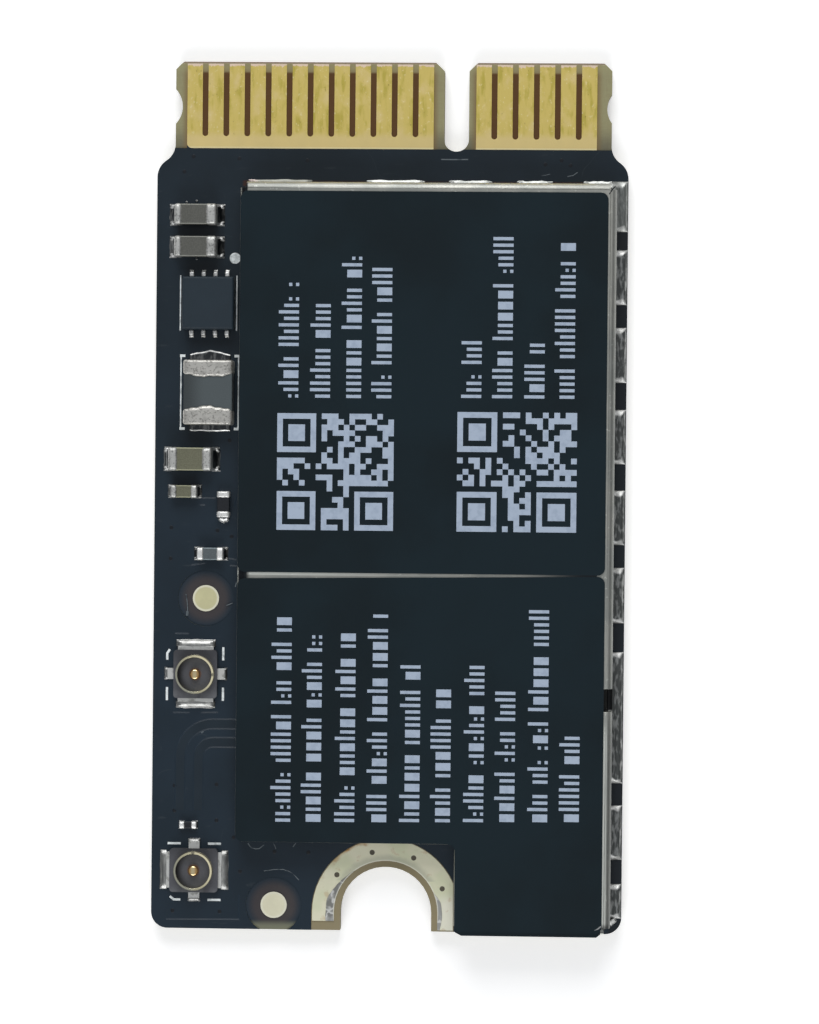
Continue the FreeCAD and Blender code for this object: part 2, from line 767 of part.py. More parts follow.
def foot_gap(body, name, low, high):
    """Cut one gap between two feet through the foot of the frame's wall."""
    gap = sketch_at(body, name, "board_top")
    draw_rectangle(gap, *low, *high)
    return pocket(body, gap, "foot_gap_height", upward=True)


def build_frame():
    """Make the soldered frame: walls on feet, with a lip and a bridge under the lid."""
    body = new_body("shield_frame")
    wall = sketch_at(body, "wall", "board_top")
    draw_outline(wall, shield_outline("frame_inset"))
    pad(body, wall, "frame_height")
    cavity = sketch_at(body, "cavity", "board_top")
    draw_outline(cavity, shield_outline("cavity_inset"))
    pocket(body, cavity, "frame_height - frame_sheet", upward=True)
    windows = sketch_at(body, "windows", "board_top + frame_height")
    lower = shield_outline("(frame_inset + frame_lip)")
    left, right, top = lower[0][0], lower[3][0], lower[4][1]
    draw_rectangle(windows, left, "bridge + frame_bridge_width / 2", right, top)
    under_bridge = "bridge - frame_bridge_width / 2"
    draw_outline(windows, lower[:4] + [(right, under_bridge), (left, under_bridge)])
    pocket(body, windows)
    slot = sketch_at(body, "edge_slot", "board_top + frame_height")
    draw_edge_slot(slot)
    pocket(body, slot, "lid_slot_depth")
    cut_feet(body)


def cut_feet(body):
    """Cut the gaps between the frame's feet along its four sides."""
    inner_right, outer_right = "shield_right - cavity_inset - overrun", "shield_right"
    first_gap = "shield_top - upper_foot_length"
    last_gap = "shield_end + lower_foot_length"
    gap = foot_gap(body, "upper_gap", (inner_right, f"{first_gap} - foot_gap_width"), (outer_right, first_gap))
    repeat(body, gap, "V_Axis", "foot_pitch", "upper_foot_count", backward=True)
    gap = foot_gap(body, "lower_gap", (inner_right, last_gap), (outer_right, f"{last_gap} + foot_gap_width"))
    repeat(body, gap, "V_Axis", "foot_pitch", "lower_foot_count")
    gap = foot_gap(body, "left_gap", ("shield_left", f"{first_gap} - foot_gap_width"),
                   ("shield_left + cavity_inset + overrun", first_gap))
    repeat(body, gap, "V_Axis", "foot_pitch", "left_foot_count", backward=True)
    end_gap = "shield_right - end_foot_length"
    gap = foot_gap(body, "top_gap", (f"{end_gap} - foot_gap_width", "shield_top - cavity_inset - overrun"),
                   (end_gap, "shield_top"))
    repeat(body, gap, "H_Axis", "end_foot_pitch", "end_foot_count", backward=True)
    wide_gap = "shield_left + left_end_foot_length"
    foot_gap(body, "wide_gap", (wide_gap, "shield_top - cavity_inset - overrun"),
             (f"{wide_gap} + wide_foot_gap_width", "shield_top"))


def build_shield_solder():
    """Make the fillets that solder the frame's feet along the right side and the top end."""
    wall_x = "shield_right - frame_inset"
    reach_x = "shield_side_margin + frame_inset - solder_edge_margin"
    height = "(lid_skirt_gap - solder_skirt_clearance)"
    upper = [f"shield_top - upper_foot_length - {index} * foot_pitch"
             for index in range(int(number("upper_foot_count")))]
    lower = [f"shield_end + lower_foot_length + foot_gap_width + {index} * foot_pitch"
             for index in reversed(range(int(number("lower_foot_count"))))]
    starts = ["shield_top - frame_inset"] + [f"{edge} - foot_gap_width" for edge in upper + lower]
    ends = upper + lower + ["shield_end + frame_inset"]
    fillets = [
        solder_wedge(f"side_fillet_{index}", (wall_x, f"({start} + {end}) / 2"), 0, reach_x,
                     f"{start} - ({end})", height)
        for index, (start, end) in enumerate(zip(starts, ends), start=1)
    ]
    gaps = [f"shield_right - end_foot_length - {index} * end_foot_pitch"
            for index in range(int(number("end_foot_count")))]
    starts = ["shield_right - frame_inset"] + [f"{edge} - foot_gap_width" for edge in gaps]
    starts.append("shield_left + left_end_foot_length")
    ends = gaps + ["shield_left + left_end_foot_length + wide_foot_gap_width", "shield_left + frame_inset"]
    fillets += [
        solder_wedge(f"end_fillet_{index}", (f"({start} + {end}) / 2", "shield_top - frame_inset"), 90,
                     "end_solder_reach", f"{start} - ({end})", height)
        for index, (start, end) in enumerate(zip(starts, ends), start=1)
    ]
    keep(group("shield_solder", fillets))


def label_film(name, corners):
    """Make one label film with rounded corners on the lid."""
    body = new_body(name)
    outline = sketch_at(body, "outline", "lid_top")
    draw_outline(outline, corners)
    pad(body, outline, "label_thickness")
    blend_edges(body, "rounds", "Fillet", upright_edges(body, corners), "label_corner_radius")


def build_labels():
    """Make the two label films, parted by a narrow tapering gap."""
    label_film("label_upper", [
        ("label_left", "upper_label_bottom"),
        ("label_right", "upper_label_bottom"),
        ("label_right", "upper_label_top"),
        ("label_left", "upper_label_top"),
    ])
    inner_x, inner_y = "shield_step_x + label_side_margin", "shield_step_y + label_side_margin"
    end = "shield_end + label_side_margin"
    label_film("label_lower", [
        ("label_left", inner_y),
        (inner_x, inner_y),
        (inner_x, end),
        ("label_right", end),
        ("label_right", "upper_label_bottom - label_gap_right"),
        ("label_left", "upper_label_bottom - label_gap_left"),
    ])


# Antenna sockets


def socket_shell(name):
    """Make the socket's ring with its snap groove, its two ground tabs and its side tab."""
    body = new_body(name)
    profile = sketch_at(body, "profile", role="XZ_Plane")
    outer, inner = "socket_ring_radius", "socket_ring_radius - socket_ring_wall"
    waist = "socket_ring_radius - socket_groove_depth"
    groove_top = "socket_groove_rise + socket_groove_height"
    draw_outline(profile, [
        (inner, "socket_ring_seat"),
        (outer, "socket_ring_seat"),
        (outer, "socket_groove_rise"),
        (waist, "socket_groove_rise"),
        (waist, groove_top),
        (outer, groove_top),
        (outer, "socket_ring_height"),
        (inner, "socket_ring_height"),
    ])
    ring = body.newObject("PartDesign::Revolution", f"{name}_ring")
    ring.Profile = profile
    ring.ReferenceAxis = (profile, ["V_Axis"])
    doc.recompute()
    tabs = sketch_at(body, "tabs")
    for low, high in (
        ("socket_ground_root", "socket_ground_reach"),
        ("-socket_ground_reach", "-socket_ground_root"),
    ):
        draw_rectangle(tabs, "-socket_ground_width / 2", low, "socket_ground_width / 2", high)
    draw_rectangle(tabs, "socket_ground_root", "-socket_signal_width / 2", "socket_signal_reach",
                   "socket_signal_width / 2")
    pad(body, tabs, "socket_tab_thickness")
    return body


def socket_base(name):
    """Make the socket's moulded base, cut to take the ring, the tabs, the strap and the pin."""
    body = new_body(name)
    outline = sketch_at(body, "outline")
    half_width, half_length = "socket_base_width / 2", "socket_base_length / 2"
    draw_rectangle(outline, f"-{half_width}", f"-{half_length}", half_width, half_length)
    pad(body, outline, "socket_base_height")
    corners = [(x, y) for x in (half_width, f"-{half_width}") for y in (half_length, f"-{half_length}")]
    blend_edges(body, "corner_rounds", "Fillet", upright_edges(body, corners), "socket_base_round")
    ring_seat = sketch_at(body, "ring_seat", "socket_base_height")
    draw_circle(ring_seat, "0", "0", "socket_ring_radius")
    draw_circle(ring_seat, "0", "0", "socket_ring_radius - socket_ring_wall")
    pocket(body, ring_seat, "socket_base_height - socket_ring_seat")
    tab_seat = sketch_at(body, "tab_seat")
    for low, high in (
        ("socket_ground_root", "socket_ground_reach"),
        ("-socket_ground_reach", "-socket_ground_root"),
    ):
        draw_rectangle(tab_seat, "-socket_ground_width / 2", low, "socket_ground_width / 2", high)
    draw_rectangle(tab_seat, "socket_ground_root", "-socket_signal_width / 2", "socket_signal_reach",
                   "socket_signal_width / 2")
    pocket(body, tab_seat, "socket_tab_thickness", upward=True)
    strap_seat = sketch_at(body, "strap_seat")
    draw_rectangle(strap_seat, "-socket_signal_reach", "-socket_signal_width / 2", "0",
                   "socket_signal_width / 2")
    pocket(body, strap_seat, "socket_strap_thickness", upward=True)
    pin_hole = sketch_at(body, "pin_hole", "socket_base_height")
    draw_circle(pin_hole, "0", "0", "socket_pin_radius")
    pocket(body, pin_hole)
    return body


def socket_pin(name):
    """Make the socket's centre pin with its flat signal strap."""
    body = new_body(name)
    strap = sketch_at(body, "strap")
    draw_rectangle(strap, "-socket_signal_reach", "-socket_signal_width / 2", "0", "socket_signal_width / 2")
    pad(body, strap, "socket_strap_thickness")
    pin = sketch_at(body, "pin")
    draw_circle(pin, "0", "0", "socket_pin_radius")
    pad(body, pin, "socket_pin_height")
    blend_edges(body, "pin_round", "Fillet", level_edges(body, "socket_pin_height"), "socket_pin_round")
    return body


def build_sockets():
    """Make the two antenna sockets; the lower one is turned a quarter turn."""
    for spot, turn in (("upper", 0), ("lower", 90)):
        name = f"antenna_socket_{spot}"
        for piece in (socket_base(f"{name}_base"), socket_shell(f"{name}_shell"), socket_pin(f"{name}_pin")):
            piece.Placement.Rotation = FreeCAD.Rotation(UP, turn)
            place(piece, "lane_centre", f"{spot}_socket_y", "board_top")


# Chip parts in the lane beside the shield


def end_capped_chip(name, x, y, size, upright=False):
    """Make a chip's core and its two plated end caps, and give the solder at its ends.

    The size names the values for length, width, height and end cap band; an upright chip lies along Y.
    """
    length, width, height, band = size
    core_size = [f"{length} - 2 * end_cap_plating", f"{width} - 2 * end_cap_plating",
                 f"{height} - 2 * end_cap_plating"]
    cap_size = [band, width, height]
    far_shift = [f"{length} - {band}", "0"]
    ends = [((x, f"{y} + {width} / 2"), 180), ((f"{x} + {length}", f"{y} + {width} / 2"), 0)]
    if upright:
        core_size[:2] = core_size[1::-1]
        cap_size[:2] = cap_size[1::-1]
        far_shift.reverse()
        ends = [((f"{x} + {width} / 2", y), -90), ((f"{x} + {width} / 2", f"{y} + {length}"), 90)]
    low = (f"{x} + end_cap_plating", f"{y} + end_cap_plating", "board_top + end_cap_plating")
    core = keep(block(f"{name}_body", low, core_size))
    near = block(f"{name}_near_end", (x, y, "board_top"), cap_size)
    far_low = (f"{x} + {far_shift[0]}", f"{y} + {far_shift[1]}", "board_top")
    far = block(f"{name}_far_end", far_low, cap_size)
    caps = [cut(f"{name}_near_cap", near, core), cut(f"{name}_far_cap", far, core)]
    keep(group(f"{name}_end_caps", caps))
    rise = f"min(chip_solder_height; {height})"
    return [
        solder_wedge(f"{name}_solder_{index}", foot, outward, "chip_solder_reach", width, rise)
        for index, (foot, outward) in enumerate(ends, start=1)
    ]


def build_chips():
    """Make the end-capped chips of the lane, and their solder as one group."""
    sizes = {
        kind: [f"{kind}_length", f"{kind}_width", f"{kind}_height", f"{kind}_band"]
        for kind in ("input_capacitor", "inductor", "output_capacitor", "small_chip", "matching_part")
    }
    resistor = ["small_chip_length", "small_chip_width", "feedback_resistor_height", "small_chip_band"]
    lane = [
        ("input_capacitor_upper", "input_capacitor_x", "upper_input_y", sizes["input_capacitor"], False),
        ("input_capacitor_lower", "input_capacitor_x", "lower_input_y", sizes["input_capacitor"], False),
        ("inductor", "inductor_x", "inductor_y", sizes["inductor"], True),
        ("output_capacitor", "output_capacitor_x", "output_capacitor_y", sizes["output_capacitor"], False),
        ("feedback_capacitor", "feedback_capacitor_x", "feedback_capacitor_y", sizes["small_chip"], False),
        ("feedback_resistor", "feedback_resistor_x", "feedback_resistor_y", resistor, True),
        ("bypass_capacitor", "bypass_capacitor_x", "bypass_capacitor_y", sizes["small_chip"], False),
        ("matching_part", "matching_part_x", "matching_part_y", sizes["matching_part"], False),
    ]
    solder = []
    for name, x, y, size, upright in lane:
        solder += end_capped_chip(name, x, y, size, upright)
    keep(group("chip_solder", solder))


def build_regulator():
    """Make the regulator's moulded body and its two rows of leads."""
    body = new_body("regulator_body")
    outline = sketch_at(body, "outline", "board_top")
    draw_rectangle(outline, "regulator_x", "regulator_y", "regulator_x + regulator_width",
                   "regulator_y + regulator_length")
    pad(body, outline, "regulator_height")
    top = level_edges(body, "board_top + regulator_height")
    blend_edges(body, "top_edges", "Chamfer", top, "regulator_chamfer")
    row_width = "((regulator_lead_count - 1) * regulator_lead_pitch + regulator_lead_width)"
    row_left = f"regulator_x + (regulator_width - {row_width}) / 2"
    leads = [
        block(f"{row}_lead_{index}", (f"{row_left} + {index} * regulator_lead_pitch", y, "board_top"),
              ("regulator_lead_width", "regulator_lead_reach", "regulator_lead_thickness"))
        for row, y in (("lower", "regulator_y - regulator_lead_reach"), ("upper", "regulator_y + regulator_length"))
        for index in range(int(number("regulator_lead_count")))
    ]
    keep(group("regulator_leads", leads))


# Chips under the shield


def package(name, x, y, size):
    """Make a moulded chip package with one corner cut off to show its first terminal."""
    width, length, height = size
    body = new_body(name)
    outline = sketch_at(body, "outline", "board_top")
    draw_outline(outline, [
        (x, y),
        (f"{x} + {width}", y),
        (f"{x} + {width}", f"{y} + {length}"),
        (f"{x} + package_corner_cut", f"{y} + {length}"),
        (x, f"{y} + {length} - package_corner_cut"),
    ])
    pad(body, outline, height)


def build_shielded_parts():
    """Make the chips, crystal, filters and capacitors that the shield covers."""
    square = {"wifi_chip": ("chip_left", "wifi_chip_y"), "bluetooth_chip": ("chip_left", "bluetooth_chip_y")}
    for name, (x, y) in square.items():
        package(name, x, y, (f"{name}_side", f"{name}_side", f"{name}_height"))
    package("memory_chip", "chip_left", "memory_chip_y",
            ("memory_chip_width", "memory_chip_length", "memory_chip_height"))
    for spot in ("upper", "lower"):
        package(f"front_end_{spot}", "module_left", f"{spot}_front_end_y",
                ("front_end_side", "front_end_side", "front_end_height"))
        package(f"band_filter_{spot}", "module_left", f"{spot}_filter_y",
                ("band_filter_width", "band_filter_length", "band_filter_height"))
    crystal = new_body("crystal")
    outline = sketch_at(crystal, "outline", "board_top")
    corners = [("module_left", "crystal_y"), ("module_left + crystal_width", "crystal_y"),
               ("module_left + crystal_width", "chip_top"), ("module_left", "chip_top")]
    draw_outline(outline, corners)
    pad(crystal, outline, "crystal_height")
    blend_edges(crystal, "rounds", "Fillet", upright_edges(crystal, corners), "crystal_corner_radius")
    row = [
        block(f"decoupling_{index}", (f"chip_left + {index} * decoupling_pitch", "decoupling_y", "board_top"),
              ("small_chip_width", "small_chip_length", "small_chip_height"))
        for index in range(int(number("decoupling_count")))
    ]
    keep(group("decoupling_capacitors", row))


def write_parts():
    """See that every object is sound, and write one file for each sub-part."""
    doc.recompute()
    for item in doc.Objects:
        if "Invalid" in item.State or "Error" in item.State:
            raise RuntimeError(f"{item.Name} failed: {item.State}")
    for node in nodes:
        node.Label = node.Name
        if node.Shape.isNull() or not node.Shape.isValid():
            raise RuntimeError(f"{node.Label} has no sound shape")
    os.makedirs("parts", exist_ok=True)
    for node in nodes:
        node.Shape.exportStep(f"parts/{node.Label}.step")


fill_tables()
build_board()
build_copper()
build_lid()
build_frame()
build_shield_solder()
build_labels()
build_sockets()
build_chips()
build_regulator()
build_shielded_parts()
write_parts()
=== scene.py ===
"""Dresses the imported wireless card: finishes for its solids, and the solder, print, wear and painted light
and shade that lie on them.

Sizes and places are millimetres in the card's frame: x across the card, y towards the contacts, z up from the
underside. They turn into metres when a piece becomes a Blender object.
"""

import functools
import logging
import math
import random
from dataclasses import dataclass, field
from enum import Enum
from typing import Any, Callable, Iterable, Optional, Sequence, Union

import bmesh
import bpy
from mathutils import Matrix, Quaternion, Vector


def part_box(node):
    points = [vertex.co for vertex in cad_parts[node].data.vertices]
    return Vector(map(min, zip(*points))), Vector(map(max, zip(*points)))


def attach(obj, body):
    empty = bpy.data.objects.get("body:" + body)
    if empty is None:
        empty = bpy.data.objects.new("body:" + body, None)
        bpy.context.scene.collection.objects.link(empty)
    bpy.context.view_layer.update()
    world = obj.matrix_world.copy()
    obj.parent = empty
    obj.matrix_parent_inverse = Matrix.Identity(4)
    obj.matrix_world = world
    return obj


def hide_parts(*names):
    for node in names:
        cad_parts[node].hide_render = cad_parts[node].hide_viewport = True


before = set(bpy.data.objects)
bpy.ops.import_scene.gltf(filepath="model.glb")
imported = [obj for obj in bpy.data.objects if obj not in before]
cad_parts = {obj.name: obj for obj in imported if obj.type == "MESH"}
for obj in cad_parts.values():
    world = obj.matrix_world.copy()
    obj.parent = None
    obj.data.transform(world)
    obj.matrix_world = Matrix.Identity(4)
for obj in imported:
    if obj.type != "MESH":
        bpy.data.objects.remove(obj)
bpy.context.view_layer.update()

LOG = logging.getLogger("card")

MM = 0.001
BODY = "root"

# How deep thin pieces are set into what they lie on.
SINK = 0.002
# How near points lie that are joined before edges are rounded.
WELD = 0.002
# From which angle on an edge is rounded.
EDGE_ANGLE = math.radians(40)

Point = tuple[float, float]
Triple = tuple[float, float, float]
Tint = Triple
Number = Union["Socket", float]
Colour = Union["Socket", Tint]


def toned(tint: Tint, share: float) -> Tint:
    """Gives a darker or lighter tone of a colour."""
    return tuple(part * share for part in tint)


def wavy(place: float, phase: float, slow: float, fast: float, drift: float) -> float:
    """Gives an uneven wave between -1 and 1."""
    return math.sin(slow * place + phase) * 0.6 + math.sin(fast * place + drift * phase) * 0.4


def circle(centre: Point, radius: float, steps: int) -> list[Point]:
    """Gives points around a circle, anticlockwise."""
    turns = [math.tau * i / steps for i in range(steps)]
    return [(centre[0] + radius * math.cos(turn), centre[1] + radius * math.sin(turn)) for turn in turns]


class Socket:
    """A node's output that takes part in Python expressions: each operator adds a Math node."""

    def __init__(self, shader: "Shader", output: Optional[bpy.types.NodeSocket]) -> None:
        """Keeps the shader that owns the output."""
        self.shader = shader
        self.output = output

    def maths(self, operation: str, first: Number, second: Number = 0.0) -> "Socket":
        """Adds a Math node with that operation on two values."""
        return self.shader.add("ShaderNodeMath", {"operation": operation}, {0: first, 1: second})

    def __add__(self, other: Number) -> "Socket":
        """Adds."""
        return self.maths("ADD", self, other)

    def __radd__(self, other: Number) -> "Socket":
        """Adds, with the number first."""
        return self.maths("ADD", other, self)

    def __sub__(self, other: Number) -> "Socket":
        """Subtracts."""
        return self.maths("SUBTRACT", self, other)

    def __rsub__(self, other: Number) -> "Socket":
        """Subtracts from a number."""
        return self.maths("SUBTRACT", other, self)

    def __mul__(self, other: Number) -> "Socket":
        """Multiplies."""
        return self.maths("MULTIPLY", self, other)

    def __rmul__(self, other: Number) -> "Socket":
        """Multiplies, with the number first."""
        return self.maths("MULTIPLY", other, self)

    def __pow__(self, other: Number) -> "Socket":
        """Raises to a power."""
        return self.maths("POWER", self, other)

    def __gt__(self, other: Number) -> "Socket":
        """Is 1 where this is greater, and 0 elsewhere."""
        return self.maths("GREATER_THAN", self, other)

    def __lt__(self, other: Number) -> "Socket":
        """Is 1 where this is less, and 0 elsewhere."""
        return self.maths("LESS_THAN", self, other)

    def __abs__(self) -> "Socket":
        """Drops the sign."""
        return self.maths("ABSOLUTE", self)

    def most(self, other: Number) -> "Socket":
        """Is the greater of two values."""
        return self.maths("MAXIMUM", self, other)

    def fraction(self) -> "Socket":
        """Drops the whole part."""
        return self.maths("FRACT", self)

    def rise(self, low: float, high: float) -> "Socket":
        """Goes smoothly from 0 at low to 1 at high, also where low is the greater."""
        ends = {0: self, 1: low, 2: high, 3: 0.0, 4: 1.0}
        return self.shader.add("ShaderNodeMapRange", {"interpolation_type": "SMOOTHSTEP"}, ends)

    def band(self, low: float, high: float, soft: float) -> "Socket":
        """Is 1 between low and high, with soft ends."""
        return self.rise(low - soft, low + soft) * self.rise(high + soft, high - soft)


class Shader:
    """A node tree and what its materials need, all of it added by one method."""

    def __init__(self, tree: bpy.types.NodeTree) -> None:
        """Empties the tree."""
        self.tree = tree
        self.tree.nodes.clear()

    def add(self, kind: str, settings: Optional[dict[str, Any]] = None,
            inputs: Optional[dict[Any, Any]] = None, output: Union[int, str] = 0) -> Socket:
        """Adds a node.

        Args:
            kind: the node's type.
            settings: the node's own properties, set first.
            inputs: values or links by the name or number of the socket.
            output: name or number of the output that is used.

        Returns:
            That output.
        """
        node = self.tree.nodes.new(kind)
        for name, value in (settings or {}).items():
            setattr(node, name, value)
        for name, value in (inputs or {}).items():
            socket = node.inputs[name]
            if isinstance(value, Socket):
                self.tree.links.new(value.output, socket)
            elif socket.type == "RGBA":
                socket.default_value = (*value, 1.0)
            else:
                socket.default_value = value
        return Socket(self, node.outputs[output] if len(node.outputs) else None)

    @functools.cached_property
    def place(self) -> Socket:
        """The point on the card, in millimetres."""
        point = self.add("ShaderNodeTexCoord", output="Object")
        return self.add("ShaderNodeVectorMath", {"operation": "SCALE"}, {0: point, "Scale": 1 / MM})

    @functools.cached_property
    def spot(self) -> tuple[Socket, Socket, Socket]:
        """That point's places across the card, along it and above its underside."""
        return self.split(self.place)

    def split(self, vector: Socket) -> tuple[Socket, Socket, Socket]:
        """Gives a vector's three parts."""
        node = self.add("ShaderNodeSeparateXYZ", None, {0: vector}).output.node
        return tuple(Socket(self, output) for output in node.outputs)

    def facing(self) -> tuple[Socket, Socket, Socket]:
        """Gives the surface's direction in the card's frame."""
        return self.split(self.add("ShaderNodeTexCoord", output="Normal"))

    def radius(self, centre: Point) -> Socket:
        """Gives the distance in millimetres from an upright line that stands at the centre."""
        across, along = self.spot[0] - centre[0], self.spot[1] - centre[1]
        return (across * across + along * along) ** 0.5

    def noise(self, scale: float, stretch: Triple = (1.0, 1.0, 1.0), detail: float = 3.0) -> Socket:
        """Adds a cloudy pattern about one half, of scale cells a millimetre times the stretch."""
        stretched = self.add("ShaderNodeVectorMath", {"operation": "MULTIPLY"}, {0: self.place, 1: stretch})
        return self.add("ShaderNodeTexNoise", None, {"Vector": stretched, "Scale": scale, "Detail": detail})

    def mix(self, first: Colour, second: Colour, factor: Number) -> Socket:
        """Goes from the first colour to the second as the factor goes from 0 to 1."""
        return self.add("ShaderNodeMix", {"data_type": "RGBA"}, {0: factor, 6: first, 7: second}, output=2)

    def coats(self, tint: Colour, *layers: tuple[Colour, Number]) -> Socket:
        """Lays colours over a first one.

        Args:
            tint: the first colour.
            layers: each further colour with its share, from 0 to 1.

        Returns:
            The colour with all of them.
        """
        for colour, share in layers:
            tint = self.mix(tint, colour, share)
        return tint

    def bump(self, height: Socket, depth: float) -> Socket:
        """Tilts the surface by a height pattern, as deep as depth says in millimetres."""
        return self.add("ShaderNodeBump", None, {"Strength": 1.0, "Distance": depth * MM, "Height": height})

    def surface(self, tint: Colour, rough: Number, normal: Optional[Socket] = None, metal: Number = 0.0,
                gloss: float = 0.5) -> None:
        """Ends the tree with one Principled surface.

        Args:
            tint: its colour.
            rough: its roughness.
            normal: its direction, where a pattern tilts it.
            metal: how far it is metal.
            gloss: how strongly it mirrors where it isn't metal.
        """
        inputs = {"Base Color": tint, "Roughness": rough, "Metallic": metal, "Specular IOR Level": gloss}
        if normal is not None:
            inputs["Normal"] = normal
        skin = self.add("ShaderNodeBsdfPrincipled", None, inputs)
        self.add("ShaderNodeOutputMaterial", None, {"Surface": skin})


@dataclass(frozen=True)
class Finish:
    """A finish of one material.

    Attributes:
        name: the material's name.
        slot: the record's material slot, or nothing for ink.
    """

    name: str
    slot: str = ""

    def shade(self, shader: Shader) -> None:
        """Fills the material's node tree."""
        raise NotImplementedError(self.name)

    def mark(self, shader: Shader, tint: Socket) -> Socket:
        """Leaves the colour as it is; a finish with marks of its own adds them here."""
        return tint


@functools.cache
def material_of(finish: Finish) -> bpy.types.Material:
    """Makes a finish's material, once.

    Args:
        finish: the finish.

    Returns:
        Its material.
    """
    material = bpy.data.materials.new(finish.name)
    material.use_nodes = True
    finish.shade(Shader(material.node_tree))
    return material


@dataclass(frozen=True)
class MaskFinish(Finish):
    """Dark solder mask, as it lies over copper edges and vias."""

    name: str = "solder_mask_skin"
    slot: str = "solder_mask"
    tint: Tint = (0.0098, 0.0218, 0.0355)

    def shade(self, shader: Shader) -> None:
        """Varies the mask's tint and gloss a little.

        Args:
            shader: the material's tree.
        """
        cloud = shader.noise(0.9)
        tint = shader.mix(toned(self.tint, 0.8), toned(self.tint, 1.3), cloud)
        shader.surface(tint, 0.36 + cloud * 0.14, gloss=0.4)


